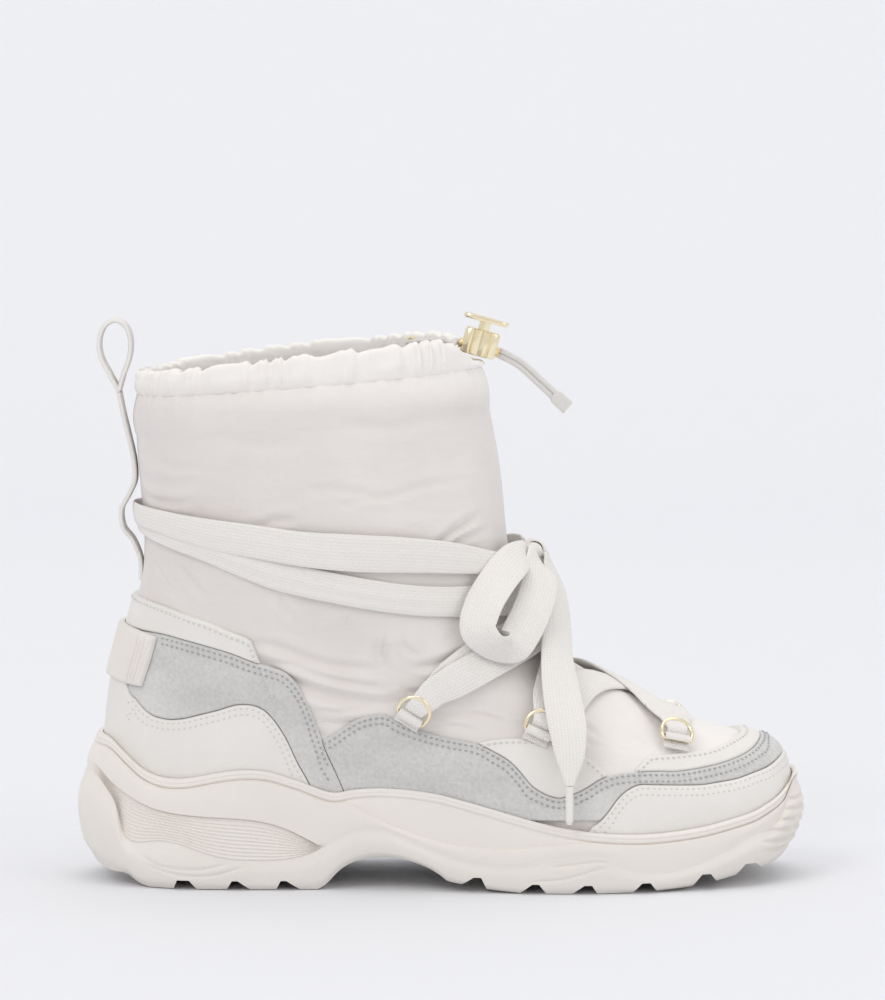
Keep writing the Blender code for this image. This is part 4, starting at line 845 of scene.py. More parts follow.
COUNTER_TOP = Curve([
    (-126, 97.6), (-122.6, 97), (-121.4, 78.5), (-117.9, 72.2), (-112.5, 67.1), (-106.5, 65.6),
    (-100.6, 66), (-93.9, 67.8), (-86.1, 70), (-79.5, 72.1), (-73.7, 72.2),
    (-68.7, 70.2), (-64.5, 65.7), (-60.2, 58.8), (-56, 49.6), (-51.7, 41.7), (-47, 30),
])
BAND_TOP = Curve([
    (-49, 57.4), (-43.3, 60.1), (-38.3, 63.5), (-32.5, 67), (-26.7, 68.6), (-21.7, 68.6),
    (-16, 65.6), (-8.3, 62.5), (2.5, 59.6), (13.3, 57.4), (20.2, 54), (25.9, 50.6),
    (30.1, 46.5), (34.4, 41.5), (39.3, 38.4), (44.3, 36.8), (48.2, 37.4), (54.3, 39.9),
    (60.9, 43.6), (67.8, 45.4), (82.1, 45.5), (90.6, 45.1), (105.2, 46.6), (114.1, 48.6),
    (119.9, 50.8), (124, 53.4), (127, 56.5),
])
TOE_GUARD_TOP = Curve([
    (52, 16), (56.6, 24.8), (60, 27.5), (63.5, 31.2), (66.6, 35.4), (70, 38.6),
    (73.5, 40.5), (76.2, 41.1), (82, 40.8), (99.2, 40), (106.7, 40.6), (113.9, 41.4),
    (119.7, 42.9), (125.9, 44.6), (131, 47.4), (136, 51.6),
])
SIDE_FACING_TOP = Curve([
    (10, 56), (14.4, 57.9), (19.4, 59), (27.5, 59.4), (34.4, 58.9), (41, 57.8),
    (53.3, 52.7), (58.3, 49.4), (63.2, 44.9), (68, 39),
])
TOE_FACING_TOP = Curve([
    (70, 40), (74.8, 46.7), (77.2, 49.1), (79.5, 50.8), (81.5, 51.2), (88.1, 51.2),
    (96.8, 51.5), (105.5, 52.4), (111.2, 54), (117.5, 56.2), (121.6, 58.4),
])
STRAP_TOP = Curve([(-134, 100.6), (-122, 100.0), (-109, 97.4), (-100, 96.0)])
STRAP_BOTTOM = Curve([(-134, 80.7), (-122, 78.1), (-115.5, 77.5), (-100, 77.0)])
WRAP_TOP = Curve([
    (-121, 148.4), (-106.5, 147.1), (-91.4, 145.3), (-72.3, 143), (-53, 140.4), (-34, 139.4),
    (-14.8, 137.9), (4, 134.7), (20, 129.4),
])
WRAP_MIDDLE = Curve([
    (-121, 140.1), (-106.5, 138.2), (-91.4, 133.7), (-72.3, 130.1), (-53, 126.9), (-34, 125),
    (-14.8, 124.1), (-0.6, 123.1), (20, 121.2),
])
WRAP_LOW_TOP = Curve([
    (-121, 143.1), (-106.5, 141.2), (-91.4, 136.7), (-72.3, 131.1), (-53, 126.9), (-34, 123),
    (-14.8, 119.6), (0, 118), (22, 117.4),
])
WRAP_BOTTOM = Curve([
    (-121, 138.1), (-106.5, 133.2), (-91.4, 128.3), (-77, 122.3), (-62.7, 117.2), (-43.5, 113),
    (-24.4, 109.4), (-5.6, 106.8), (22, 104.6),
])


def tread_line(x: Array) -> Array:
    """Height of the uncut tread, level on the floor under the heel and the forefoot."""
    return np.maximum(TREAD(x) - 0.3, 0.0)


def moved(line: Line, away: float, steepest: float = 9.0) -> Line:
    """A line moved square to itself.

    Args:
        line: The line.
        away: The distance, up or down.
        steepest: The greatest squared slope that counts.

    Returns:
        The moved line.
    """

    def value(x: Array) -> Array:
        """Height of the moved line."""
        slope = line(x + 0.5) - line(x - 0.5)
        return line(x) + away * np.sqrt(1 + np.minimum(slope**2, steepest))

    return value


def beside(line: Line, side: float) -> Line:
    """A line moved by half the seam between panels, up or down."""
    return moved(line, side * SEAM, math.inf)


def tucked(x: Array) -> Array:
    """Height at which the panels end inside the sole's rim."""
    return RIM(x) - 3.0


def highest(*lines: Line) -> Line:
    """The upper envelope of several lines."""

    def value(x: Array) -> Array:
        """Greatest height of the lines at x."""
        return np.maximum.reduce([line(x) for line in lines])

    return value


@dataclass(frozen=True)
class Fold:
    """One crease of the padded nylon: places along it, how deep and how wide it is.

    Its section is a Gaussian trough with a lower ridge on each side. It fades in and out
    along its length. side is 1 for the outer side of the boot and -1 for the inner one.
    """

    places: Sequence[tuple[float, float]]
    depth: float
    width: float
    side: float = 1.0

    def press(self, last: Last, points: Array) -> Array:
        """How far each point is lifted by the crease, in millimetres.

        Args:
            last: The form, to find the crease's places on it.
            points: Places on the form.

        Returns:
            One lift a point, below zero in the trough.
        """
        found = [last.surface(*last.find(x, z, self.side)) for x, z in self.places]
        route = through(np.array(found), 40)
        lift = np.zeros(points.shape[:-1])
        reach = 5 * self.width
        close = np.all((points > route.min(0) - reach) & (points < route.max(0) + reach), axis=-1)
        flat = points[close]
        near = np.full(len(flat), 1e9)
        along = np.zeros(len(flat))
        for i, (start, end) in enumerate(zip(route[:-1], route[1:])):
            step = end - start
            share = np.clip(((flat - start) @ step) / (step @ step), 0, 1)
            away = np.linalg.norm(flat - start - share[:, None] * step, axis=1)
            closer = away < near
            near = np.where(closer, away, near)
            along = np.where(closer, (i + share) / (len(route) - 1), along)
        fade = np.sin(math.pi * along) ** 0.7
        trough = np.exp(-((near / self.width) ** 2))
        ridge = np.exp(-(((near - 1.9 * self.width) / (1.1 * self.width)) ** 2))
        lift[close] = (0.5 * ridge - trough) * self.depth * fade
        return lift


FOLDS = [
    Fold([(-3.4, 132.9), (1.5, 136.7), (6.8, 140.5), (13.8, 144.2)], 1.5, 1.5),
    Fold([(0.9, 131.8), (7.9, 135.6), (13.3, 137.8), (18, 139)], 1, 1.2),
    Fold([(-54.5, 156), (-39.4, 156.6), (-22.2, 153.4), (-7.1, 157.1), (11.1, 158.7)], 0.7, 1.6),
    Fold([(-40, 150), (-30, 152), (-18, 152.5)], 0.5, 1.2),
    Fold([(-71.7, 141.5), (-65.2, 144.2), (-54.5, 144.7)], 0.8, 1.7),
    Fold([(-73.8, 93.7), (-66.3, 86.7), (-54.5, 79.7), (-39.4, 74.9), (-25.4, 72.7), (-12.5, 73.8)],
         2, 2.4),
    Fold([(-74.9, 96.4), (-63, 94.2), (-50.1, 89.4), (-37.2, 86.7), (-23.3, 86.2)], 1.3, 2),
    Fold([(-69.5, 89.4), (-58.8, 87.8), (-45.9, 83.5), (-33, 80.3), (-20, 78.1)], 1.2, 1.5),
    Fold([(-11.4, 86.7), (-3.9, 87.8), (3.6, 90.5), (9, 94.2)], 1.4, 1.7),
    Fold([(-2, 79), (-9, 77), (-15, 77.6)], 0.8, 1.3),
    Fold([(-22.2, 100.7), (-23.3, 93.2), (-21.7, 85.6)], 0.8, 1.4),
    Fold([(-15, 101), (-14, 95), (-9, 91)], 0.7, 1.3),
    Fold([(-63, 116), (-60.5, 110), (-56, 104)], 0.8, 1.6),
    Fold([(-36, 108), (-38, 102)], 0.6, 1.3),
    Fold([(-51.2, 65.2), (-39.4, 64.7), (-30, 66.5), (-21.1, 69.5)], 0.8, 1.2),
    Fold([(-50, 69.5), (-38, 69.6), (-27, 72.2)], 0.6, 1),
    Fold([(-50.5, 60.8), (-45, 61.5), (-38, 64)], 0.6, 0.9),
    Fold([(-0.7, 70.6), (8, 68.8), (17.6, 67.3), (27, 64)], 0.8, 1.2),
    Fold([(-2.9, 65.2), (5, 63.8), (14.2, 62)], 0.6, 1),
    Fold([(45, 68), (54, 64), (62, 58)], 0.7, 1.3),
    Fold([(47, 62), (55, 58), (64, 55)], 0.5, 1),
    Fold([(74, 60), (79, 56), (84, 54.4)], 0.6, 1),
    Fold([(-118, 160), (-110, 157), (-100, 157.5), (-92, 160)], 0.9, 2.2),
    Fold([(-116, 152), (-106, 150), (-95, 151)], 0.8, 1.6),
    Fold([(-112, 168), (-103, 163.5), (-92, 164.5)], 0.6, 1.8),
    Fold([(-105, 128), (-96, 119), (-90, 113)], 0.8, 1.8),
    Fold([(-112, 127), (-108, 119), (-103, 114)], 0.7, 1.5),
    Fold([(-85, 176), (-70, 173), (-52, 174)], 0.5, 2.4),
    Fold([(-40, 182), (-22, 179), (-4, 181)], 0.5, 2.2),
]


@dataclass
class PaddedUpper:
    """The padded nylon upper and shaft, with the creases pressed into it."""

    last: Last
    columns: int = 356
    outer_rows: int = 190
    inner_rows: int = 36

    MIRRORED = 0.55
    ROLL = 17.0

    def puff(self, angle: Array, row: Array, points: Array) -> Array:
        """Lift of the padding: creases, the roll under the collar seam and its gathers."""
        lift = np.zeros(points.shape[:-1])
        for fold in FOLDS:
            lift += fold.press(self.last, points)
            if fold.depth > self.MIRRORED:
                twin = Fold(fold.places, fold.depth * 0.9, fold.width * 1.1, -fold.side)
                lift += twin.press(self.last, points)
        below = self.last.surface(angle, np.full_like(row, self.last.TOP_ROW))[..., 2] - points[..., 2]
        roll = np.sin(math.pi * np.clip(below / self.ROLL, 0, 1)) ** 0.8
        gather = np.sin(angle * 47 + 1.7 * np.sin(angle * 9)) * 0.6 + np.sin(angle * 83 + 2.0) * 0.4
        lift += roll * 1.3
        lift += gather * 0.42 * np.exp(-((below / 3.4) ** 2)) + gather * 0.12 * roll
        swell = np.sin(angle * 5 + 0.8) * np.sin(row * 0.9) + np.sin(angle * 9 + row * 0.6)
        return lift + 0.22 * swell * smooth_step(row, 2.0, 8.0) * smooth_step(below, 2.0, 14.0)

    def build(self, finishes: Finishes) -> Piece:
        """Make the upper as a closed wall, open at the collar and underneath."""
        angle = around(self.columns)
        length = walked(self.last.surface(0.0, self.last.scan_rows))
        stops = np.linspace(0, length[-1], self.outer_rows)
        rows = np.interp(stops, length, self.last.scan_rows)
        grid_angle, grid_row = np.meshgrid(angle, rows)
        outer = self.last.surface(grid_angle, grid_row)
        lift = self.puff(grid_angle, grid_row, outer)
        outer = outer + self.last.normal(grid_angle, grid_row) * lift[..., None]
        down = rows[:: -(self.outer_rows // self.inner_rows)]
        down_angle, down_row = np.meshgrid(angle, np.clip(down, 0, None))
        inner = self.last.lifted(down_angle, down_row, -WALL)
        inner[0, :, 2] = outer[-1, :, 2] - 0.8
        return dress(
            loft("padded_upper", np.concatenate([outer, inner]), finishes["nylon"], joins=True),
            "nylon", "upper",
        )


@dataclass
class GatheredCuff:
    """The drawstring channel at the collar, gathered into small irregular ruffles."""

    last: Last
    columns: int = 720

    SECTION = np.array([
        (0, 0.3), (0.12, 1.2), (0.35, 1.8), (0.62, 1.5), (0.85, 1), (0.97, 0), (1, -1.4),
        (0.98, -2.8), (0.90, -4), (0.6, -4.4), (0.3, -4), (0, -3.5),
    ])

    def build(self, finishes: Finishes) -> Piece:
        """Make the cuff as rings of points, each a level of the channel's section."""
        angle = around(self.columns)
        seam, outward = self.last.seam(angle)
        foot = seam[:, 2] + GAP
        top = np.maximum(CUFF_TOP(seam[:, 0]), foot + 1.2)
        chance = np.random.default_rng(11)
        phase = angle * 34 + 2.6 * np.sin(angle * 7 + 0.4) + 1.6 * np.sin(angle * 13 + 2.0)
        ruffle = np.sin(phase) + 0.5 * np.sin(phase * 2 + 1.1) + 0.3 * np.sin(phase * 3 + 0.5)
        coarse = chance.normal(size=48)
        ruffle += 0.5 * np.interp(angle / TURN * 48, np.arange(49), np.append(coarse, coarse[0]))
        share = np.linspace(0, len(self.SECTION) - 1, 34)
        levels = smooth_weights(share, np.arange(len(self.SECTION))) @ self.SECTION
        height, lift = levels[:, :1], levels[:, 1:]
        loose = np.clip(height, 0, 1)
        tall = np.clip((top - foot) / 9.0, 0.25, 1.0)
        shift = ruffle[None, :] * (0.12 + 0.62 * np.sin(math.pi * loose * 0.85)) * tall
        swirl = np.sin(phase[None, :] + height * 5.0) * 0.45 * loose * tall
        push = np.where(lift > -1.0, shift + swirl, -0.6 * shift)
        rise = foot - 0.9 * (1 - height) + (top - foot) * height + ruffle * 0.55 * loose**2 * tall
        rings = seam[None] + outward[None] * (lift + push)[..., None]
        rings[..., 2] = rise
        piece = loft("gathered_cuff", rings, finishes["nylon"], joins=True, sharp=60.0)
        return dress(piece, "nylon", "collar_cuff")


@dataclass
class Panel:
    """A flat piece sewn on the upper between two lines, with rounded edges.

    Its outer face lies at the full lift and drops to the inner one along a quarter circle
    at its edges, so neighbours meet in a soft groove.
    """

    name: str
    node: str
    slot: str
    lower: Line
    upper: Line
    span: tuple[float, float]
    columns: int = 360
    layers: int = 34
    round: float = 0.75
    raised: float = 0.0

    def build(self, last: Last, finish: Material) -> Piece:
        """Lay the panel on the form."""
        angles = np.linspace(*self.span, self.columns)
        low, high = last.rows_at(angles, self.lower), last.rows_at(angles, self.upper)
        keep = np.nonzero(high - low > 0.02)[0]
        angles, low, high = (part[keep[0] : keep[-1] + 1] for part in (angles, low, high))
        high = np.maximum(high, low)
        share = 0.5 - 0.5 * np.cos(math.pi * np.linspace(0, 1, self.layers))
        rows = low + (high - low) * share[:, None]
        grid = np.broadcast_to(angles, rows.shape)
        base = last.surface(grid, rows)
        off = last.normal(grid, rows)
        climb = walked(base)
        walk = walked(base.swapaxes(0, 1)).T
        edge = np.minimum(climb, climb[-1:] - climb)
        edge = np.minimum(edge, np.minimum(walk, walk[:, -1:] - walk))
        arc = quarter_round(edge, self.round)
        outer = base + off * (PANEL_IN + (PANEL + self.raised) * arc)[..., None]
        inner = base + off * (PANEL_IN - 0.5)
        piece = sheet(self.name, outer, inner, finish, 60.0)
        return dress(piece, self.slot, self.node)


def all_panels(last: Last) -> list[Panel]:
    """The sewn panels, from the lines that bound them.

    Args:
        last: The form, to find where each line starts and ends.

    Returns:
        The panels of both sides.
    """
    counter = last.angle_at(-49.0, 38.0)
    guard = last.angle_at(-66.5, 86.0)
    band = last.angle_at(-50.0, 55.0)
    toe = last.angle_at(55.0, 24.0)
    facing = last.angle_at(74.0, 46.0)
    back, front = last.angle_at(-36.0, 36.0), last.angle_at(-121.0, 85.0)
    facing_back, facing_front = last.angle_at(14.0, 57.0), last.angle_at(66.0, 43.0)
    over_quarter = highest(tucked, beside(QUARTER_TOP, 1))
    over_toe = highest(over_quarter, beside(TOE_GUARD_TOP, 1))

    def band_floor(x: Array) -> Array:
        """Lower edge of the forefoot band: the sole's rim, the quarter and the toe guard."""
        return np.where(x < 50, over_quarter(x), over_toe(x))

    panels = [
        Panel("heel_counter_leather", "heel_counter", "leather", tucked, beside(COUNTER_TOP, -1),
              (counter, TURN - counter), 410, raised=0.25),
        Panel("collar_guard_leather", "collar_guard", "leather", beside(QUARTER_TOP, 1), GUARD_TOP,
              (guard, TURN - guard), 420, 22),
        Panel("forefoot_band_suede", "forefoot_band", "suede", band_floor, BAND_TOP, (-band, band), 560),
        Panel("toe_guard_leather", "toe_guard", "leather", tucked, beside(TOE_GUARD_TOP, -1),
              (-toe, toe), 450, 28, raised=0.25),
        Panel("toe_facing_leather", "toe_facing", "leather", beside(BAND_TOP, 1), TOE_FACING_TOP,
              (-facing, facing), 420, 18),
    ]
    for side, place in SIDES:
        ends = sorted((side * back, side * front))
        floor = highest(tucked, beside(COUNTER_TOP, 1))
        panels.append(Panel(f"quarter_suede_{place}", f"quarter_{place}", "suede", floor,
                            beside(QUARTER_TOP, -1), tuple(ends), 260, 36))
        ends = sorted((side * facing_front, side * facing_back))
        panels.append(Panel(f"facing_leather_{place}", f"facing_{place}", "leather", beside(BAND_TOP, 1),
                            SIDE_FACING_TOP, tuple(ends), 260, 16))
    return panels


@dataclass(frozen=True)
class SeamRow:
    """A row of stitches at a distance from a line, between two places of it."""

    line: Line
    away: float
    start: tuple[float, float]
    end: tuple[float, float]
    pitch: float = 2.25
    whole: bool = False


@dataclass
class Stitching:
    """All rows of stitches, each stitch a short bent bar that dips in at both ends."""

    last: Last
    length: float = 1.3
    radius: float = 0.27

    SUEDE = (
        SeamRow(QUARTER_TOP, -1.4, (-107, 96), (-44, 46)),
        SeamRow(BAND_TOP, -1.4, (-46, 56), (113, 46), whole=True),
        SeamRow(QUARTER_TOP, -3.6, (-107, 96), (-44, 46)),
        SeamRow(BAND_TOP, -3.6, (-46, 56), (113, 46), whole=True),
    )
    LEATHER = (
        SeamRow(COUNTER_TOP, -1.5, (-120, 76), (-55, 44)),
        SeamRow(TOE_GUARD_TOP, -1.5, (59, 24), (123, 41), whole=True),
        SeamRow(COUNTER_TOP, -3.8, (-120, 76), (-55, 44)),
        SeamRow(TOE_GUARD_TOP, -3.8, (59, 24), (123, 41), whole=True),
        SeamRow(GUARD_TOP, -1.7, (-110, 107), (-69.8, 90), whole=True),
        SeamRow(SIDE_FACING_TOP, -1.6, (13, 56), (63, 44)),
        SeamRow(TOE_FACING_TOP, -1.6, (76, 46), (114, 52), whole=True),
    )

    def spots(self, row: SeamRow, side: float) -> tuple[Array, Array, Array]:
        """Middles, headings and normals of one row's stitches on one side."""
        start = self.last.angle_at(*row.start)
        end = self.last.angle_at(*row.end)
        if row.whole and row.end[0] > 100:
            end = 0.0
        if row.whole and row.start[0] < -100:
            start = math.pi
        angles = side * np.linspace(start, end, 900)
        rows = self.last.rows_at(angles, moved(row.line, row.away))
        places = self.last.lifted(angles, rows, PANEL_OUT)
        count = max(2, int(path_length(places) / row.pitch))
        middles = evenly(places, count)
        middles = middles[:-1] if row.whole else middles
        heading = headings(middles)
        near = np.linalg.norm(places[None] - middles[:, None], axis=2).argmin(1)
        normals = self.last.normal(angles[near], rows[near])
        return middles, heading, normals

    def build(self, finishes: Finishes) -> None:
        """Make the stitches on the suede and those on the leather."""
        self.sew("suede_stitches", self.SUEDE, finishes["grey_thread"])
        self.sew("leather_stitches", self.LEATHER, finishes["thread"])

    def sew(self, name: str, rows: Sequence[SeamRow], finish: Material) -> Piece:
        """Make every stitch of some rows, on both sides, as one piece."""
        parts = [self.spots(row, side) for row in rows for side in (1.0, -1.0)]
        middle, heading, off = (np.concatenate([part[k] for part in parts]) for k in range(3))
        across = unit(np.cross(heading, off))
        share = np.array([-0.5, -0.3, 0.0, 0.3, 0.5])
        lift = np.array([-0.12, 0.20, 0.30, 0.20, -0.12])
        thick = np.array([0.5, 1.0, 1.0, 1.0, 0.5]) * self.radius
        turns = around(6)
        centre = (
            middle[:, None] + heading[:, None] * (share * self.length)[:, None]
            + off[:, None] * lift[:, None]
        )
        ring = (
            across[:, None, None] * (np.cos(turns) * thick[:, None])[None, ..., None] * 1.25
            + off[:, None, None] * (np.sin(turns) * thick[:, None])[None, ..., None]
        )
        points = centre[:, :, None] + ring
        caps = np.array([(0, 1, 2, 3), (0, 3, 4, 5), (24, 25, 26, 27), (24, 27, 28, 29)])
        one = np.concatenate([grid_faces(5, 6, closed=True), caps])
        faces = (one[None] + (np.arange(len(middle)) * 30)[:, None, None]).reshape(-1, 4)
        return dress(make_mesh(name, points, faces, finish), "lace")


@dataclass(frozen=True)
class Outline:
    """The sole's plan outline at its widest, in the same form as a section of the last."""

    back: float = -143.3
    front: float = 142.6
    halves: tuple[float, float, float, float] = (40.5, 42.0, 53.8, 39.5)
    roundness: float = 0.72

    def at(self, angle: Array, inset: Array) -> Array:
        """Plan places, drawn in by insets at the back, the front and the sides.

        Args:
            angle: 0 at the toe, pi at the heel.
            inset: Back, front and side insets along the last axis.

        Returns:
            x and y along a new last axis.
        """
        along = (1 + np.cos(angle)) / 2
        low, high = self.back + inset[..., 0], self.front - inset[..., 1]
        x = low + (high - low) * along
        halves = np.array(self.halves) - inset[..., 2:3]
        half = Last.half_width(along, halves, np.full(np.shape(along), self.roundness))
        return np.stack([x, Last.CENTRELINE(x) - np.sign(np.sin(angle)) * half], axis=-1)


def side_lines(x: Array) -> Array:
    """Heights of the midsole's side rows at x, each at least a step above the one below."""
    step = 0.5
    part = PART_LINE(x) + GAP / 2
    rib = np.maximum(RIB_LINE(x), part + step)
    wave = np.maximum(np.minimum(WAVE_LINE(x), RIM(x) - BEAD - step), rib + 2 * step)
    bead = np.maximum(RIM(x) - BEAD, wave + step)
    middle = np.maximum(RIM(x) - BEAD / 2, bead + step)
    return np.stack([part, rib, wave, bead, middle, np.maximum(RIM(x), middle + step)])


def inner_part(x: Array) -> Array:
    """The parting line under the foot, kept low enough to leave foam above it."""
    return np.minimum(PART_LINE(x), Last.FOOTBED(x) - 7.0)


@dataclass(frozen=True)
class Run:
    """One stretch of the sole's side between two of its profile points.

    steps is how many rings it has, belly how far its middle stands out, and ribs how many
    shallow ripples of a set height run along it.
    """

    steps: int
    belly: float = 0.0
    ribs: float = 0.0
    height: float = 0.0


def side_stack(
    outline: Outline, angle: Array, heights: Callable[[Array], Array], insets: Array,
    runs: Sequence[Run], rib_share: Array | float = 1.0, soft: bool = False
) -> Array:
    """Rings up the side of the sole through profile points, with bellies and ribs.

    Each ring mixes the insets and heights of the profile points around it. Between two
    points the side stands out by a half sine for a belly and by raised cosines for ribs.

    Args:
        outline: Plan outline.
        angle: Angles of the columns.
        heights: Heights of the profile points at x, along a new first axis.
        insets: Back, front and side inset of each profile point, by point and column.
        runs: What lies between each point and the next.
        rib_share: How much of the ribs' height each column has.
        soft: Whether the side runs smoothly through the points between the first and last.

    Returns:
        Points as ring, column, then x, y and z.
    """
    rings = []
    count = len(runs) + 1
    for i, run in enumerate(runs):
        for s in np.linspace(0, 1, run.steps + 1)[: None if i == len(runs) - 1 else -1]:
            mix = np.zeros(count)
            if soft and 0 < i < len(runs) - 1:
                mix[1:-1] = smooth_weights(i - 1 + s, np.arange(count - 2))
            else:
                mix[i : i + 2] = 1 - s, s
            out = run.belly * math.sin(math.pi * s)
            out = out + run.height * (0.5 - 0.5 * math.cos(TURN * run.ribs * s)) * rib_share
            inset = np.tensordot(mix, insets, 1) - np.broadcast_to(out, angle.shape)[:, None]
            plan = outline.at(angle, inset)
            z = mix @ heights(plan[:, 0])
            rings.append(np.concatenate([plan, z[:, None]], axis=1))
    return np.array(rings)


@dataclass
class Midsole:
    """The foam midsole: a wavy side wall, ribbed at the heel, with a bead under its rim."""

    last: Last
    columns: int = 460

    INSETS = np.array([
        (3.8, 3, 0.6), (4.6, 3.1, 1.7), (3.9, 3.1, 0.5), (6.3, 3.2, 0.5), (6.5, 3.2, 1.4),
        (7.2, 3.4, 2.2), (7.4, 3.2, 1.7), (8.4, 3.5, 2.5),
    ])
    RUNS = (Run(66, 0.0, 11, 0.5), Run(3), Run(10, 0.35), Run(3), Run(10, 0.3), Run(5, 0.45), Run(6, 0.5))

    @staticmethod
    def heights(x: Array) -> Array:
        """Heights of the profile points of the side at x."""
        part, rib, wave, bead, middle, top = side_lines(x)
        part = part - GAP * 0.9
        return np.stack([part, rib, rib + 0.3, wave, wave + 0.3, bead, middle, top])

    def build(self, finishes: Finishes) -> Piece:
        """Make the side, the rim's inner wall and the foot's bed as one closed skin."""
        angle = around(self.columns)
        insets = np.repeat(self.INSETS[:, None], len(angle), axis=1)
        x = Outline().at(angle, np.zeros((len(angle), 3)))[:, 0]
        ribbed = smooth_step(RIB_LINE(x) - PART_LINE(x), 0.4, 6.0)
        insets[1] = insets[0] + (insets[1] - insets[0]) * ribbed[:, None]
        side = side_stack(Outline(), angle, self.heights, insets, self.RUNS, ribbed)
        under = Outline().at(angle, np.broadcast_to(np.array([4.9, 4.6, 8.0]), (len(angle), 3)))
        under = np.concatenate([under, (inner_part(under[:, 0]) - GAP * 0.4)[:, None]], axis=1)
        top = self.last.lifted(angle, self.last.rows_at(angle, RIM), RIM_IN - 0.35)
        top[:, 2] = side_lines(top[:, 0])[5]
        bed = self.last.lifted(angle, np.zeros(len(angle)), RIM_IN)
        bed[:, 2] = Last.FOOTBED(bed[:, 0])
        rings = np.concatenate([under[None], side, top[None], bed[None]])
        return dress(loft("foam_midsole", rings, finishes["foam"]), "foam", "midsole")


@dataclass(frozen=True)
class Notch:
    """A gap across the tread: where it starts and ends at the floor and at its roof."""

    low_back: float
    roof_back: float
    roof_front: float
    low_front: float
    roof: float


@dataclass
class Outsole:
    """The rubber outsole: notched tread, middle groove, toe grooves and scribed arcs."""

    columns: int = 720

    NOTCHES = (
        Notch(-104.3, -102.8, -98.1, -94.9, 3.8), Notch(-83.7, -81.5, -79.2, -73.9, 3.8),
        Notch(-64.5, -62.6, -60.4, -54.7, 3.8), Notch(7.3, 12.0, 14.9, 17.1, 6.2),
        Notch(29.6, 34.5, 37.2, 40.2, 4.0), Notch(49.6, 54.6, 57.6, 59.8, 3.6),
        Notch(72.9, 77.0, 80.2, 83.0, 4.2), Notch(96.2, 100.4, 103.8, 106.4, 6.6),
        Notch(113.5, 117.6, 121.9, 124.5, 9.3),
    )
    GROOVES = ((-113.0, -49.0), (4.0, 112.0))
    ARCS = (
        ((-119, 14), (-108, 9), (-94, 8.2), (-82, 11)),
        ((-116, 10), (-104, 6.2), (-90, 5.8), (-76, 9.6)),
        ((33, 5), (46, 6), (58, 9.4), (66, 11.8)),
        ((40, 10.6), (50, 11.6), (58, 12.6), (66, 12.6)),
    )
    TOE = (13.6, 17.4, 21.2, 25.0, 28.8, 32.4)
    INSETS = np.array([
        (8, 9.2, 3.8), (6.5, 7.5, 2.4), (1.9, 3.4, 0.7), (0, 0, 0), (3.8, 3, 0.6), (4.9, 4.6, 8),
    ])
    RUNS = (Run(2), Run(8), Run(14), Run(14), Run(3))

    @staticmethod
    def heights(x: Array) -> Array:
        """Heights of the profile points of the side at x."""
        low, high = tread_line(x), PART_LINE(x) - GAP / 2
        return np.stack([
            low, low + 0.35, low + 0.22 * (high - low), low + 0.62 * (high - low), high,
            inner_part(x) - GAP / 2,
        ])

    def scribed(self, rings: Array) -> Array:
        """The side with its toe grooves and thin arcs pressed in."""
        middle = Last.CENTRELINE(rings[..., 0])
        rise = np.zeros_like(middle)
        inwards = unit(np.stack([-0.35 * np.sign(rings[..., 0]), middle - rings[..., 1], rise], axis=-1))
        press = np.zeros(rings.shape[:-1])
        for height in self.TOE:
            near = np.exp(-(((rings[..., 2] - height) / 0.75) ** 4))
            press += 1.1 * near * smooth_step(rings[..., 0], 122.0, 130.0)
        for arc in self.ARCS:
            xs, zs = np.array(arc).T
            level = smooth_weights(rings[..., 0], xs) @ zs
            inside = smooth_step(rings[..., 0], xs[0], xs[0] + 5)
            inside = inside * smooth_step(-rings[..., 0], -xs[-1], 5 - xs[-1])
            press += 0.55 * np.exp(-(((rings[..., 2] - level) / 0.55) ** 2)) * inside
        toe = rings[..., 0] > 121
        back = unit(np.stack([70 - rings[..., 0], middle - rings[..., 1], rise], axis=-1))
        return rings + np.where(toe[..., None], back, inwards) * press[..., None]

    def cutters(self) -> Piece:
        """The notches' and grooves' solids as one mesh."""
        points, faces = [], []
        for notch in self.NOTCHES:
            outline = [
                (notch.low_back, -6.0), (notch.low_back, float(tread_line(notch.low_back))),
                (notch.roof_back, notch.roof), (notch.roof_front, notch.roof),
                (notch.low_front, float(tread_line(notch.low_front))), (notch.low_front, -6.0),
            ]
            start = len(points)
            points += [(x, y, z) for y in (-66.0, 66.0) for x, z in outline]
            faces += [list(range(start, start + 6)), list(range(start + 6, start + 12))]
            faces += [
                [start + i, start + (i + 1) % 6, start + 6 + (i + 1) % 6, start + 6 + i] for i in range(6)
            ]
        return make_mesh("tread_cutters", np.array(points), faces, bpy.data.materials["rubber"])

    def build(self, finishes: Finishes) -> Piece:
        """Make the outsole's skin and cut the tread."""
        angle = around(self.columns)
        insets = np.repeat(self.INSETS[:, None], len(angle), axis=1)
        rings = side_stack(Outline(), angle, self.heights, insets, self.RUNS, soft=True)
        rings[..., 2] = np.maximum(rings[..., 2], tread_line(rings[..., 0]))
        piece = loft("rubber_outsole", self.scribed(rings), finishes["rubber"], sharp=50.0)
        cut(piece, self.cutters())
        for back, front in self.GROOVES:
            low, high = (back, -3.0, -6.0), (front, 3.0, 2.6)
            corners = list(product(*zip(low, high)))
            sides = [(0, 1, 3, 2), (4, 6, 7, 5), (0, 4, 5, 1), (2, 3, 7, 6), (0, 2, 6, 4), (1, 5, 7, 3)]
            cut(piece, make_mesh("groove_cutter", np.array(corners), np.array(sides), finishes["rubber"]))
        piece.data.shade_smooth()
        piece.data.set_sharp_from_angle(angle=math.radians(32.0))
        return dress(piece, "rubber", "outsole")


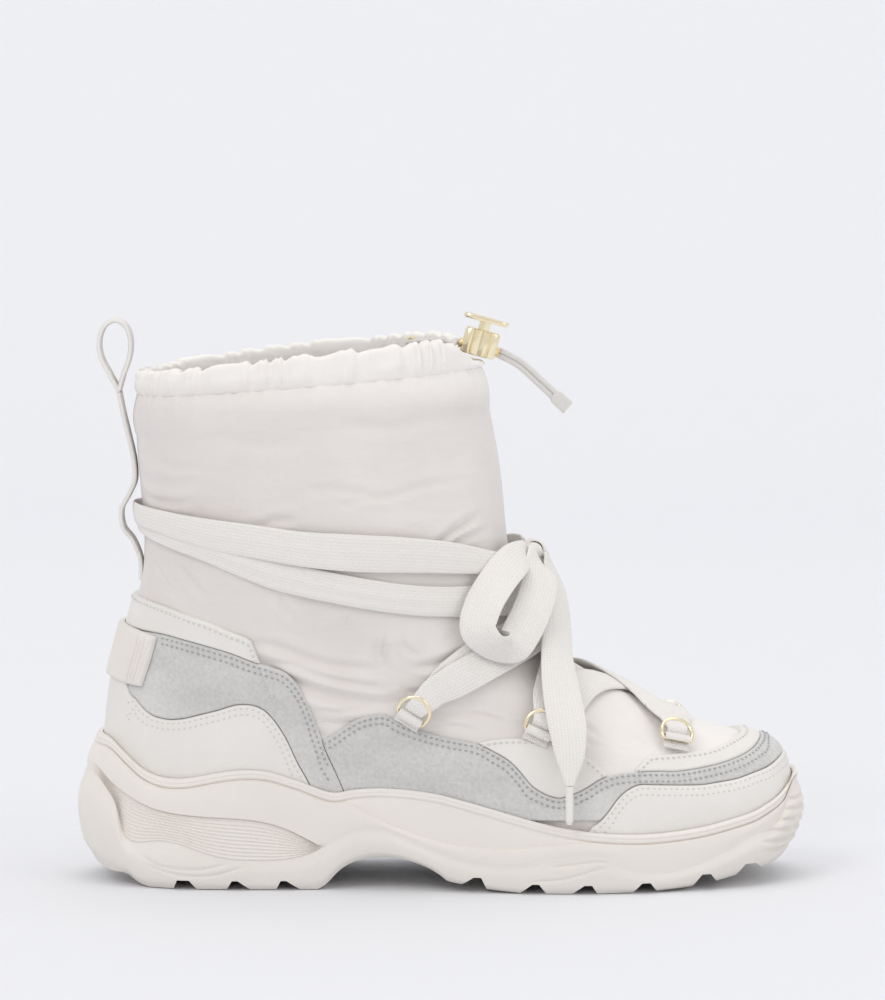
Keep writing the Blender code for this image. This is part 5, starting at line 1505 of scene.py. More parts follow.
def cut(item: Piece, other: Piece) -> None:
    """Cut one solid out of another and drop the cutter."""
    modifier = item.modifiers.new("cut", "BOOLEAN")
    modifier.object = other
    modifier.operation = "DIFFERENCE"
    modifier.solver = "EXACT"
    graph = bpy.context.evaluated_depsgraph_get()
    mesh = bpy.data.meshes.new_from_object(item.evaluated_get(graph))
    item.modifiers.remove(modifier)
    old, gone = item.data, other.data
    item.data = mesh
    bpy.data.objects.remove(other, do_unlink=True)
    bpy.data.meshes.remove(gone)
    bpy.data.meshes.remove(old)


@dataclass
class Insole:
    """The sock liner inside the foot."""

    last: Last
    columns: int = 240

    def build(self, finishes: Finishes) -> Piece:
        """Make the liner as rings with a rounded top edge."""
        angle = around(self.columns)
        rings = []
        for inset, height in ((0.0, 0.0), (0.0, 3.2), (0.5, 3.9), (1.4, 4.2), (9.0, 4.0)):
            ring = self.last.lifted(angle, np.zeros(len(angle)), -WALL - GAP - inset)
            ring[:, 2] = Last.FOOTBED(ring[:, 0]) + GAP + height
            rings.append(ring)
        return dress(loft("sock_liner", np.array(rings), finishes["lining"]), "lining", "insole")


@dataclass
class HeelStrap:
    """The rubber band round the heel, ribbed near its slanted front edges, left bare."""

    last: Last
    thick: float = 2.2
    ribs: int = 4
    pitch: float = 1.9

    REACH = 35.2
    MARGIN = 1.6

    def build(self, finishes: Finishes) -> Piece:
        """Lay the band on the form between its two lines."""
        low_end = self.last.angle_at(-115.5, float(STRAP_BOTTOM(-115.5)))
        high_end = self.last.angle_at(-109.1, float(STRAP_TOP(-109.1)))
        share = np.concatenate([
            np.linspace(0, 0.5, 90), np.linspace(0.5, 1.5, 110)[1:-1], np.linspace(1.5, 2, 90),
        ])
        layer = 0.5 - 0.5 * np.cos(math.pi * np.linspace(0, 1, 20))[:, None]
        end = low_end + (high_end - low_end) * layer
        angles = end + (math.pi - end) * share

        def height(level: float) -> Line:
            """The line at a share of the way up from the lower edge to the upper one."""
            return lambda x: STRAP_BOTTOM(x) + (STRAP_TOP(x) - STRAP_BOTTOM(x)) * level

        rows = np.stack([
            self.last.rows_at(angle, height(level)) for angle, level in zip(angles, layer[:, 0])
        ])
        base = self.last.surface(angles, rows)
        off = self.last.normal(angles, rows)
        away = np.minimum(share, 2 - share) * self.REACH
        place = np.clip((away - self.MARGIN) / self.pitch, 0, self.ribs)
        rib = np.where((place > 0) & (place < self.ribs), np.sin(math.pi * np.mod(place, 1)) ** 0.7, 0.0)
        inside = smooth_step(layer, 0.04, 0.12) * smooth_step(1 - layer, 0.04, 0.12)
        climb = walked(base)
        edge = np.minimum(np.minimum(climb, climb[-1:] - climb), away[None, :] * 0.9)
        arc = quarter_round(edge, 1.1)
        bottom = PANEL_OUT + GAP + 0.05
        outer = base + off * (bottom + (self.thick - 0.1) * arc + 0.1 + 0.75 * rib * inside)[..., None]
        inner = base + off * bottom
        piece = sheet("heel_band_rubber", outer, inner, finishes["rubber"], 50.0)
        return dress(piece, "rubber", "heel_strap")


def lace_section() -> tuple[Array, Array]:
    """Places round a flat band's section, from -1 to 1 across it and through it."""
    turns = around(24)
    return signed_power(np.cos(turns), 0.42), signed_power(np.sin(turns), 0.62)


def band(
    name: str, path: Array, normals: Array, widths: Array | float, finish: Material,
    thickness: float = LACE, closed: bool = False, cup: float = 0.0,
    drape: Callable[[Array, Array], Array] | None = None
) -> Piece:
    """A flat woven band along a path, its section a soft-cornered rectangle.

    The map gives millimetres across and along, so the weave runs with the band.

    Args:
        name: Name of the object.
        path: Centre places.
        normals: Directions off the band's face.
        widths: Width at each place.
        finish: The material.
        thickness: Thickness of the band.
        closed: Whether the path joins itself.
        cup: How far the edges lie below the middle.
        drape: Gives how far to move places along some directions so that they lie on a form.

    Returns:
        The new object.
    """
    widths = np.broadcast_to(widths, len(path))
    heading = headings(path, closed)
    across = unit(np.cross(heading, normals))
    off = unit(np.cross(across, heading))
    off = off * np.sign((off * normals).sum(1, keepdims=True))
    flat, deep = lace_section()
    side = flat[None, :] * widths[:, None] / 2
    rise = deep[None, :] * thickness / 2 - cup * flat[None, :] ** 2
    points = path[:, None] + across[:, None] * side[..., None]
    if drape is not None:
        rise = rise + drape(points, off)
    points = points + off[:, None] * rise[..., None]
    along = np.broadcast_to(walked(path)[:, None], side.shape)
    uv = np.stack([side + MAP_MIDDLE, along], axis=-1)
    return loft(name, points, finish, joins=closed, uv=uv, sharp=70.0)


def tube(
    name: str, path: Array, radius: Array | float, finish: Material, aside: Sequence[float],
    sides: int = 16, closed: bool = False
) -> Piece:
    """A round bar along a path, with a map in millimetres round and along it.

    Args:
        name: Name of the object.
        path: Centre places.
        radius: Radius, one for all or one a place.
        finish: The material.
        aside: A direction that is never along the path.
        sides: Points round the bar.
        closed: Whether the path joins itself.

    Returns:
        The new object.
    """
    path = np.asarray(path, float)
    heading = headings(path, closed)
    across = unit(np.cross(heading, np.asarray(aside, float)))
    up = np.cross(heading, across)
    turns = around(sides)
    ring = across[:, None] * np.cos(turns)[:, None] + up[:, None] * np.sin(turns)[:, None]
    radius = np.broadcast_to(radius, len(path))
    points = path[:, None] + ring * radius[:, None, None]
    round_way = np.abs(np.mod(turns + math.pi, TURN) - math.pi) * radius.max()
    uv = np.stack(np.broadcast_arrays(round_way[None], walked(path)[:, None]), axis=-1)
    return loft(name, points, finish, joins=closed, uv=uv)


@dataclass(frozen=True)
class LaceRing:
    """A wire ring for the lace on its webbing tab: where the tab leaves the upper."""

    name: str
    x: float
    z: float
    lean: float

    RADIUS = 6.2
    FLAT = math.radians(30)
    TILT = math.radians(13)
    LIFT = 2 * GAP + 0.8 + WIRE + 0.35

    def frame(self, last: Last, side: int) -> tuple[Array, Array, Array, Array]:
        """The bar's place and the directions along it, up the foot and off the upper."""
        angle, row = last.find(self.x, self.z, side)
        off = last.normal(angle, row)
        place = last.surface(angle, row) + off * PANEL_OUT
        lean = math.radians(self.lean)
        along = np.array([math.cos(lean), 0, math.sin(lean)])
        along = unit(along - off * np.dot(along, off))
        up = np.cross(off, along)
        return place, along, up * np.sign(up[2]), off

    def spot(self, last: Last, side: int) -> Array:
        """Where a lace meets the ring."""
        place, _, up, off = self.frame(last, side)
        return place + off * self.LIFT + up * (self.RADIUS * 1.5 + WIRE + 1.0)

    def middle(self, last: Last, side: int) -> Array:
        """The middle of the ring's opening."""
        place, _, up, off = self.frame(last, side)
        return place + off * self.LIFT + self.leaning(up, off) * self.RADIUS * 0.55

    def leaning(self, up: Array, off: Array) -> Array:
        """The way the ring stands, tilted off the upper."""
        return up * math.cos(self.TILT) + off * math.sin(self.TILT)

    def build(self, last: Last, side: int, label: str, finishes: Finishes) -> None:
        """Make the wire ring and the folded tab."""
        place, along, up, off = self.frame(last, side)
        bar = place + off * self.LIFT
        lean_up = self.leaning(up, off)
        centre = bar + lean_up * self.RADIUS * math.sin(self.FLAT)
        turns = np.linspace(-self.FLAT, math.pi + self.FLAT, 64)[:, None]
        arc = centre + along * self.RADIUS * np.cos(turns) + lean_up * self.RADIUS * np.sin(turns)
        half = self.RADIUS * math.cos(self.FLAT)
        bar_points = bar - along * half * np.linspace(0.9, -0.9, 14)[:, None]
        path = evenly(np.concatenate([arc, bar_points]), 110, closed=True)
        wire = tube(f"lace_ring_{self.name}_{label}", path, WIRE, finishes["gold"],
                    np.cross(along, lean_up), 14, closed=True)
        dress(wire, "gold", f"d_ring_{self.name}_{label}")
        radius = WIRE + GAP + 0.15 + 0.4
        bend = np.linspace(math.radians(150), -math.pi / 2, 26)
        outline = [(radius * math.cos(t), radius * math.sin(t)) for t in bend]
        outline += [(-reach, -radius) for reach in np.linspace(0.6, 3.6, 7)]
        fold = np.array([bar + up * p + off * q for p, q in outline])
        outwards = np.array([up * math.cos(t) + off * math.sin(t) for t in bend] + [-off] * 7)
        tab = band(f"tab_{self.name}_{label}", fold, outwards, 10.2, finishes["webbing"], 0.85)
        dress(tab, "webbing", f"ring_tab_{self.name}_{label}")


RINGS = {ring.name: ring for ring in (
    LaceRing("back", -12.6, 67.6, -32.0), LaceRing("middle", 36.6, 60.4, -24.0),
    LaceRing("front", 89.6, 54.2, 4.0),
)}


@dataclass(frozen=True)
class Strand:
    """A lace from one ring over the ridge of the foot to another."""

    start: tuple[str, int]
    over: tuple[float, float, float]
    end: tuple[str, int]
    lift: float


@dataclass
class Laces:
    """The crossed flat laces over the instep, their ends drawn in through the rings."""

    last: Last
    tree: BVHTree

    LOW = 1.0
    HIGH = LOW + LACE * 0.95
    EYE_BACK = 4.0
    RAY_START = 14.0

    def strands(self) -> list[Strand]:
        """The strands, from the toe up to the ankle."""
        low, high = self.LOW, self.HIGH
        return [
            Strand(("front", 1), (93, 0, 80), ("front", -1), low),
            Strand(("middle", 1), (66, 0, 90), ("front", -1), low),
            Strand(("front", 1), (66, 0, 90), ("middle", -1), high),
            Strand(("back", 1), (40, 0, 94), ("middle", -1), low),
            Strand(("middle", 1), (40, 0, 94), ("back", -1), high),
            Strand(("back", 1), (37, 0, 97), ("back", -1), high + 0.5),
        ]

    def laid(self, start: Array, over: Array, end: Array, count: int = 70) -> tuple[Array, Array]:
        """Places and normals on the form in the plane of three points, seen from inside."""
        middle = (start + end) / 2
        eye = middle - unit(over - middle) * self.EYE_BACK
        aims = unit(np.array([start - eye, over - eye, end - eye]))
        places, normals = [], []
        for share in np.linspace(0, 2, count):
            first = min(int(share), 1)
            t = share - first
            angle = math.acos(float(np.dot(aims[first], aims[first + 1])))
            aim = aims[first] * math.sin((1 - t) * angle) + aims[first + 1] * math.sin(t * angle)
            place, normal, _, _ = self.tree.ray_cast(Vector(eye), Vector(aim).normalized())
            normals.append(normal if normal.dot(Vector(aim)) > 0 else -normal)
            places.append(place)
        places, normals = np.array(places), np.array(normals)
        for _ in range(30):
            places[1:-1] = (places[:-2] + 2 * places[1:-1] + places[2:]) / 4
            normals[1:-1] = unit(normals[:-2] + 2 * normals[1:-1] + normals[2:])
        return places, normals

    def strand(self, index: int, strand: Strand, finish: Material) -> Piece:
        """One strand, taken down into the rings at both ends."""
        rings = [(RINGS[name], side) for name, side in (strand.start, strand.end)]
        spots = [ring.spot(self.last, side) for ring, side in rings]
        places, normals = self.laid(spots[0], np.array(strand.over, float), spots[1])
        share = np.linspace(0, 1, len(places))
        near = np.minimum(share, 1 - share)
        lifts = [LaceRing.LIFT + WIRE + 1.6, strand.lift + 1.6, strand.lift]
        path = places + normals * (np.interp(near, [0, 0.10, 0.24], lifts) + LACE / 2)[:, None]
        dips, faces = [], []
        for (ring, side), edge in zip(rings, (0, -1)):
            _, _, up, off = ring.frame(self.last, side)
            middle = ring.middle(self.last, side)
            dips.append(np.array([middle + up * 1.0 + off * 0.9, middle - up * 0.6 - off * 1.1]))
            faces.append(np.array([unit(off - up * 0.2), unit(off * 0.4 - up)]))
        rows = np.concatenate([dips[0][::-1], path[2:-2], dips[1]])
        normals = np.concatenate([faces[0][::-1], normals[2:-2], faces[1]])
        table = through(np.concatenate([rows, normals], axis=1), 120)
        away = walked(table[:, :3])
        away = np.minimum(away, away[-1] - away)
        widths = np.interp(away, [0, 4, 11, 22], [7.6, 8.2, 11.0, LACE_WIDTH])
        hug = np.interp(away, [9, 18], [0, 1])[:, None]
        lift = strand.lift + LACE / 2

        def drape(points: Array, off: Array) -> Array:
            """Moves that bring a band's places to the strand's lift over the form."""
            moves = np.zeros(points.shape[:2])
            for i, j in np.ndindex(moves.shape):
                aim = Vector(-off[i])
                start = Vector(points[i, j]) - aim * self.RAY_START
                hit = self.tree.ray_cast(start, aim, 30.0)[3]
                moves[i, j] = self.RAY_START - hit + lift if hit is not None else 0.0
            return np.clip(moves, -6.0, 6.0) * hug

        return band(
            f"strand_{index}", table[:, :3], unit(table[:, 3:6]), widths, finish, cup=0.1, drape=drape
        )

    def build(self, finishes: Finishes) -> Piece:
        """Make all the strands as one piece."""
        parts = [self.strand(i, strand, finishes["lace"]) for i, strand in enumerate(self.strands())]
        return dress(joined("crossed_laces", parts), "lace", "lace_crossings")


@dataclass
class AnkleWraps:
    """The two turns of lace round the ankle, the upper one lapping the lower."""

    last: Last
    columns: int = 420

    def turn(self, name: str, low: Line, high: Line, lift: float, finish: Material) -> Piece:
        """One turn of the band between two lines, its weave mapped round the shaft."""
        angle = around(self.columns) + math.pi
        low_row, high_row = self.last.rows_at(angle, low), self.last.rows_at(angle, high)
        flat, deep = (part[:, None] for part in lace_section())
        rows = low_row + (high_row - low_row) * (0.5 + 0.5 * flat)
        raised = lift + LACE / 2 + deep * LACE / 2 + 0.35 * (1 - flat**2)
        raised = raised + 0.25 * np.sin(angle * 6 + 1.0) * flat
        points = self.last.lifted(np.broadcast_to(angle, rows.shape), rows, raised)
        spread = np.linalg.norm(points[0] - points[12], axis=1)
        across = MAP_MIDDLE + flat * spread / 2
        uv = np.stack([across, np.broadcast_to(walked(points[6]), across.shape)], axis=-1)
        return loft(name, points, finish, joins=True, uv=uv, sharp=70.0)

    def build(self, finishes: Finishes) -> Piece:
        """Make both turns as one piece."""
        lower = self.turn("lower_turn", WRAP_BOTTOM, WRAP_LOW_TOP, 0.7, finishes["lace"])
        upper = self.turn("upper_turn", WRAP_MIDDLE, WRAP_TOP, 0.7 + LACE * 0.9, finishes["lace"])
        return dress(joined("wrapped_laces", [lower, upper]), "lace", "ankle_wraps")


@dataclass
class PullLoop:
    """The webbing up the back of the shaft, guiding the laces and ending in a teardrop."""

    STEM = (
        (-118, 117), (-118.3, 125), (-121.2, 132.6), (-124.9, 137.6), (-125.6, 144.6), (-122.6, 150.6),
        (-120.4, 156), (-120.7, 164), (-122.6, 173), (-124.6, 181.5), (-126.4, 190.6),
    )
    DROP = (
        (-126.4, 191), (-130.2, 198), (-133.4, 204.5), (-134, 211), (-131.8, 216.6), (-127.8, 218.7),
        (-123.8, 216.6), (-121.8, 211), (-122.2, 204.5), (-124.6, 197.5), (-126.4, 191),
    )

    def build(self, finishes: Finishes) -> Piece:
        """Make the stem and the teardrop as one piece."""
        stem = through(np.array([(x, 0.0, z) for x, z in self.STEM]), 110)
        facing = np.broadcast_to([-1.0, 0.0, 0.0], stem.shape)
        up_back = band("stem", stem, facing, WEBBING_WIDTH, finishes["webbing"], WEBBING)
        drop = through(np.array([(x, 0.0, z) for x, z in self.DROP]), 121)[:-1]
        outwards = unit(drop - np.array([-127.8, 0.0, 206.0]))
        loop = band("drop", drop, outwards, WEBBING_WIDTH, finishes["webbing"], WEBBING, closed=True)
        return dress(joined("webbing_pull_loop", [up_back, loop]), "webbing", "pull_loop")


@dataclass
class Bow:
    """The ribbon bow: a wrapped knot, a loop each side and two hanging ends with tips."""

    # x, y, z, the way the band's face points, and its width
    LOOP = np.array([
        (36.6, -8.8, 127, 0.97, 0, 0.20, 8.5),
        (36.8, -12.2, 126.7, 0.88, -0.35, 0.30, 11.5),
        (38.2, -20.5, 119.5, 0.42, -0.84, 0.34, 15),
        (35.4, -31.5, 109.5, 0.30, -0.90, 0.28, 15.5),
        (30.4, -40, 100, 0.22, -0.95, 0.10, 15.5),
        (26, -45.5, 94.6, -0.12, -0.88, -0.46, 14.5),
        (19, -49, 95.6, -0.34, -0.82, -0.46, 14),
        (13.6, -49.6, 102.4, -0.26, -0.96, -0.05, 14.5),
        (15.6, -45, 111.5, -0.30, -0.92, 0.22, 15.5),
        (21.4, -36.8, 120.5, -0.14, -0.93, 0.34, 15),
        (28, -25.5, 127.2, 0.25, -0.80, 0.54, 14),
        (32.8, -13.4, 129, 0.75, -0.55, 0.36, 10),
        (33.1, -8.9, 128.8, 0.95, -0.1, 0.30, 8),
    ])
    END = np.array([
        (40.9, -4.2, 127.6, 1, -0.05, 0.10, 7.4),
        (42, -5.2, 123.4, 0.92, -0.30, 0.26, 9.6),
        (43.8, -8, 118, 0.86, -0.48, 0.20, 12.5),
        (44.9, -12.5, 111, 0.76, -0.62, 0.22, 14.5),
        (45.2, -21, 101, 0.64, -0.76, 0.12, 15.5),
        (44.8, -32.5, 90, 0.50, -0.80, 0.30, 15),
        (46.2, -43, 77, 0.28, -0.92, 0.25, 15.5),
        (48.2, -51, 64, 0.08, -0.98, 0.15, 14.5),
        (49, -54.8, 53.5, 0, -1, 0.10, 11),
        (48.8, -56, 46.5, 0, -1, 0, 6),
        (48.7, -56.2, 42.8, 0, -1, 0, 3.6),
    ])
    PLACE = np.array([35.2, 0.0, 127.5])

    def knot(self, finishes: Finishes) -> Piece:
        """The knot: a soft roll across the shin with the lace wrapped round its middle."""
        share = np.linspace(-1, 1, 60)
        path = self.PLACE + np.stack([0 * share, share * 7.6, 0 * share], axis=1)
        swell = (1 - np.abs(share) ** 5) ** 0.5
        core = tube("core", path, 4.3 * np.maximum(swell, 0.05), finishes["lace"], (0, 0, 1), 40)
        turn = around(90)
        ring = self.PLACE + np.stack(
            [4.7 * np.cos(turn), 1.4 * np.sin(turn + 0.6), 4.7 * np.sin(turn)], axis=1
        )
        wrap = band("wrap", ring, unit(ring - self.PLACE), 9.5, finishes["lace"], 1.3, closed=True, cup=0.8)
        return dress(joined("bow_knot_wrapped", [core, wrap]), "lace", "bow_knot")

    def ribbon(
        self, name: str, node: str, table: Array, side: int, count: int, finish: Material
    ) -> tuple[Piece, Array]:
        """One band of the bow and the path it follows."""
        rows = table * np.array([1, side, 1, 1, side, 1, 1])
        rows = through(rows, count)
        piece = band(name, rows[:, :3], unit(rows[:, 3:6]), rows[:, 6], finish, cup=0.55)
        return dress(piece, "lace", node), rows[:, :3] * MM

    def build(self, finishes: Finishes) -> None:
        """Make the bow: its knot, a loop and a hanging end each side, and their tips."""
        self.knot(finishes)
        lace = finishes["lace"]
        for side, place in SIDES:
            names = (f"ribbon_loop_{place}", f"bow_loop_{place}")
            loop, path = self.ribbon(*names, self.LOOP, side, 150, lace)
            names = (f"ribbon_end_{place}", f"lace_end_{place}")
            end, path = self.ribbon(*names, self.END, side, 130, lace)
            last = self.END[-1]
            tip = np.array([(last[0], side * last[1], z) for z in np.linspace(42.6, 27.8, 24)])
            share = np.linspace(0, 1, 24)
            lip = 0.12 * np.exp(-(((share - 0.03) / 0.03) ** 2))
            radius = 1.5 * (1 - 0.35 * smooth_step(share, 0.9, 1.0)) + lip
            aglet = tube(f"tip_{place}", tip, radius, finishes["plastic"], (1, 0, 0), 20)
            dress(aglet, "plastic", f"aglet_{place}")


@dataclass
class CordLock:
    """The metal cord lock: a fluted body with a stem bore, and the button that slides."""

    FOOT = np.array([13.4, 0.0, 204.8])
    LEAN = math.radians(15)
    HALF = (7.0, 5.0)
    HEIGHT = 10.2
    LEVEL = 3.2
    PITCH = 2.7
    CAP = (9.0, 5.2)
    STEM = 2.3
    POINTS = 224

    @classmethod
    def at(cls, along: Array | float, across: Array | float, up: Array | float) -> Array:
        """A place in the lock's own directions, as x, y and z."""
        axis = np.array([math.sin(cls.LEAN), 0.0, math.cos(cls.LEAN)])
        level = np.array([math.cos(cls.LEAN), 0.0, -math.sin(cls.LEAN)])
        along, across, up = np.broadcast_arrays(*(np.asarray(v, float) for v in (along, across, up)))
        flat = along[..., None] * level + up[..., None] * axis
        return cls.FOOT + flat + across[..., None] * np.array([0.0, 1.0, 0.0])

    def outline(
        self, half: tuple[float, float], inset: float, flutes: int = 0, depth: float = 0.0
    ) -> Array:
        """A rounded rectangle with grooves between upright barrels, as along and across.

        Args:
            half: Half the length and half the width.
            inset: How far it is drawn in.
            flutes: How many barrels stand round it.
            depth: How deep the grooves between them are.

        Returns:
            Two rows of places.
        """
        turns = around(self.POINTS)
        shape = signed_power(np.stack([np.cos(turns), np.sin(turns)], 1), 0.45) * half
        if flutes:
            share = walked(np.concatenate([shape, shape[:1]]))
            groove = np.abs(np.cos(math.pi * flutes * share[:-1] / share[-1])) ** 16
            shape = shape - unit(shape) * (groove * depth)[:, None]
        return (shape * (1 - inset / np.array(half))).T

    def circle(self, radius: float, level: float) -> Array:
        """A level circle round the stem's axis."""
        turns = around(self.POINTS)
        return self.at(radius * np.cos(turns), radius * np.sin(turns), level)

    def body(self, finishes: Finishes) -> Piece:
        """The body, with its bore for the stem sunk in the top."""
        high = self.HEIGHT
        levels = ((0.0, 0.8), (0.25, 0.25), (0.8, 0.0), (high - 0.8, 0.0), (high - 0.25, 0.25), (high, 0.8))
        rings = []
        for i, (level, inset) in enumerate(levels):
            deep = 1.1 if 1 < i < 4 else 0.6
            rings.append(self.at(*self.outline(self.HALF, inset, 12, deep), level))
        rings += [self.circle(*step) for step in ((2.7, high), (2.6, high - 0.2), (2.6, high - 4.6))]
        shell = loft("shell", np.array(rings), finishes["gold"], sharp=35.0)
        turns = around(self.POINTS)[::4]
        mouths = []
        for end in (-1, 1):
            steps = ((6.3, 2.3), (7.4, 2.4), (7.9, 2.8), (8.0, 2.9), (7.8, 2.5), (7.2, 2.1))
            level = np.stack([
                self.at(end * reach, wide * 1.25 * np.cos(turns), self.LEVEL + wide * 0.8 * np.sin(turns))
                for reach, wide in steps
            ])
            mouths.append(loft(f"mouth_{end}", level, finishes["gold"]))
        return dress(joined("cord_lock_body", [shell, *mouths]), "gold", "lock_body")

    def button(self, finishes: Finishes) -> Piece:
        """The stem and its flat bare cap, which slide down into the body."""
        top = self.HEIGHT + 3.4
        rings = [self.circle(self.STEM, self.HEIGHT - 1.8), self.circle(self.STEM, top)]
        for level, inset in ((0.0, 0.7), (0.15, 0.2), (0.5, 0.0), (1.4, 0.0), (1.75, 0.2), (1.9, 0.7)):
            rings.append(self.at(*self.outline(self.CAP, inset), top + level))
        return dress(
            loft("cord_lock_button", np.array(rings), finishes["gold"], sharp=35.0),
            "gold", "lock_button", body=BUTTON_BODY,
        )

    def build(self, finishes: Finishes) -> None:
        """Make the body and the button."""
        self.body(finishes)
        self.button(finishes)


@dataclass
class Drawcord:
    """The cord from the collar's eyelets through the lock to its stitched end."""

    last: Last

    EYELET = (-9.3, 207.9)
    TAIL = ((30.5, 201.3), (38.0, 194.6), (43.6, 189.4))
    END = (47.0, 186.2)

    def eyelet(self, side: int, place: str, finishes: Finishes) -> tuple[Array, Array]:
        """One eyelet on the collar's inner face; returns its place and the way outwards."""
        angle = self.last.find(self.EYELET[0], self.EYELET[1] - 10.0, side)[0]
        seam, outward = self.last.seam(np.array([angle]))
        off = outward[0]
        face = seam[0] - off * 4.2
        face[2] = self.EYELET[1]
        level = unit(np.cross(off, [0, 0, 1.0]))
        turns = around(48)
        rings = []
        way = np.outer(np.cos(turns), level) + np.outer(np.sin(turns), [0, 0, 1.0])
        for radius, sunk in ((1.5, 0.3), (1.5, 1.0), (1.75, 1.25), (2.2, 1.25), (2.6, 0.9), (2.6, 0.3)):
            rings.append(face - off * sunk + way * radius)
        piece = loft(f"collar_eyelet_{place}", np.array(rings), finishes["gold"], joins=True)
        dress(piece, "gold", f"eyelet_{place}")
        return face, off

    def held(self, side: int, place: str, finishes: Finishes) -> None:
        """The cord from one eyelet to the lock."""
        face, off = self.eyelet(side, place, finishes)
        start = face - off * 1.8
        across = -side * CordLock.PITCH / 2
        route = np.array([
            start, start - off * 1.6, start - off * 4.4 + np.array([2.6, 0, 0.5]),
            np.array([0.5, -side * 16.0, 209.6]), np.array([3.6, -side * 8.0, 208.8]),
            CordLock.at(-9.4, across * 1.4, CordLock.LEVEL), CordLock.at(-7.4, across, CordLock.LEVEL),
        ])
        path = through(route, 90)
        cord = tube(f"held_cord_{place}", path, CORD, finishes["cord"], (0, 0, 1), 16)
        dress(cord, "cord", f"drawcord_{place}")

    def build(self, finishes: Finishes) -> None:
        """Make the eyelets, the held cords, the doubled tail and its stitched end."""
        for side, place in SIDES:
            self.held(side, place, finishes)
        route = [CordLock.at(7.4, 0, CordLock.LEVEL), CordLock.at(9.5, 0, CordLock.LEVEL - 0.2)]
        route += [np.array([x, 0.0, z]) for x, z in self.TAIL]
        middle = through(np.array(route), 80)
        heading = headings(middle)
        above = unit(np.cross(heading, [0, 1.0, 0]))
        above = above * np.sign(above[:, 2:3])
        sides = []
        for way in (-1, 1):
            path = middle + above * 1.05 * way
            sides.append(tube(f"side_{way}", path, CORD * 0.98, finishes["cord"], (0, 1, 0), 16))
        first = np.array([self.TAIL[-1][0], 0.0, self.TAIL[-1][1]])
        last = np.array([self.END[0], 0.0, self.END[1]])
        way = unit(last - first)
        share = np.linspace(0, 1, 40)[:, None]
        path = first - way * 0.4 + (last + way * 3.4 - first) * share
        facing = np.broadcast_to([0.0, -1.0, 0.0], path.shape)
        wide = 4.3 + 1.5 * smooth_step(share[:, 0], 0.0, 0.25)
        sides.append(band("stitched_end", path, facing, wide, finishes["cord"], 2.6))
        tail = dress(joined("doubled_tail", sides), "cord", "drawcord_tail", "drawcord_end")


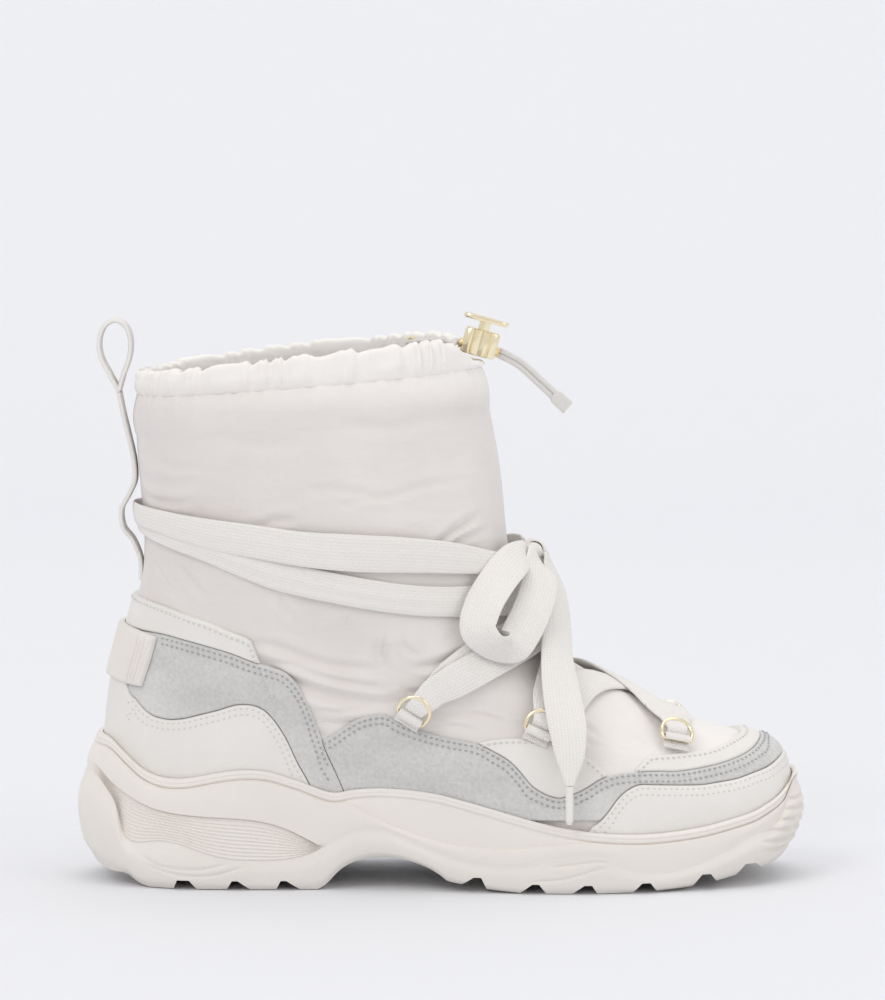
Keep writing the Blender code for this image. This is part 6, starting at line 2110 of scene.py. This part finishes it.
@dataclass
class Studio:
    """A plain pale floor and sweep, soft lamps and the fixed camera."""

    target: Triple = (0.0, 0.0, 0.148)
    distance: float = 2.2
    elevation: float = math.radians(5)
    view: float = 0.392

    def floor(self) -> None:
        """Make the sweep: level under the boot, curving up behind it."""
        profile = [(-4.0, 0.0), (1.6, 0.0)]
        turns = np.linspace(0, math.pi / 2, 24)
        profile += [(1.6 + 1.4 * math.sin(t), 1.4 - 1.4 * math.cos(t)) for t in turns[1:]]
        profile.append((3.0, 6.0))
        line = np.array(profile)
        points = np.array([(x, y, z) for y, z in line for x in (-6.0, 6.0)]) / MM
        sweep = make_mesh("sweep", points, grid_faces(len(line), 2), self.paper())

    @staticmethod
    def paper() -> Material:
        """Pale blue-grey paper."""
        return Moulded("paper", (0.815, 0.825, 0.858), (0.813, 0.823, 0.856), 0.85, 90.0, 0.00001).build()

    @staticmethod
    def aimed(name: str, data: bpy.types.ID, place: Vector, aim: Vector) -> Piece:
        """Link a lamp or the camera at a place, facing along a direction."""
        item = bpy.data.objects.new(name, data)
        item.location = place
        item.rotation_euler = aim.to_track_quat("-Z", "Y").to_euler()
        bpy.context.scene.collection.objects.link(item)
        return item

    def lamp(self, name: str, place: Triple, size: float, power: float, colour: Triple) -> None:
        """A square soft lamp aimed at the boot."""
        data = bpy.data.lights.new(name, "AREA")
        data.size = size
        data.energy = power
        data.color = colour
        self.aimed(name, data, Vector(place), Vector((0.0, 0.0, 0.1)) - Vector(place))

    def camera(self) -> None:
        """Place the camera on the outer side, a little above level."""
        data = bpy.data.cameras.new("camera")
        data.sensor_fit = "VERTICAL"
        data.sensor_height = 36.0
        data.sensor_width = 36.0
        data.lens = 36.0 * self.distance / self.view
        data.clip_end = 50.0
        out = Vector((0.0, -math.cos(self.elevation), math.sin(self.elevation)))
        place = Vector(self.target) + out * self.distance
        bpy.context.scene.camera = self.aimed("camera", data, place, -out)

    def build(self) -> None:
        """Make the floor, the lamps, the fill and the camera."""
        self.floor()
        self.lamp("key", (-3.6, -5.2, 5.6), 3.4, 112.0, (1.0, 0.985, 0.965))
        self.lamp("side", (5.2, -3.6, 3.2), 3.6, 40.0, (1.0, 0.995, 0.985))
        self.lamp("top", (0.3, 0.6, 5.6), 4.0, 64.0, (1.0, 0.995, 0.99))
        scene = bpy.context.scene
        world = scene.world or bpy.data.worlds.new("world")
        scene.world = world
        world.use_nodes = True
        background = world.node_tree.nodes["Background"]
        background.inputs["Color"].default_value = (1.0, 0.99, 0.98, 1.0)
        background.inputs["Strength"].default_value = 0.745
        scene.view_settings.view_transform = "Standard"
        scene.view_settings.look = "None"
        self.camera()


def main() -> None:
    """Build the boot from the inside out, then the studio."""
    logging.basicConfig(level=logging.INFO, format="%(message)s")
    finishes = {recipe.name: recipe.build() for recipe in RECIPES}
    last = Last()
    PaddedUpper(last).build(finishes)
    GatheredCuff(last).build(finishes)
    for panel in all_panels(last):
        panel.build(last, finishes[panel.slot])
    Stitching(last).build(finishes)
    Outsole().build(finishes)
    Midsole(last).build(finishes)
    Insole(last).build(finishes)
    HeelStrap(last).build(finishes)
    for ring in RINGS.values():
        for side, place in SIDES:
            ring.build(last, side, place, finishes)
    Laces(last, last.tree()).build(finishes)
    AnkleWraps(last).build(finishes)
    PullLoop().build(finishes)
    Bow().build(finishes)
    CordLock().build(finishes)
    Drawcord(last).build(finishes)
    Studio().build()


if __name__ == "__main__":
    main()
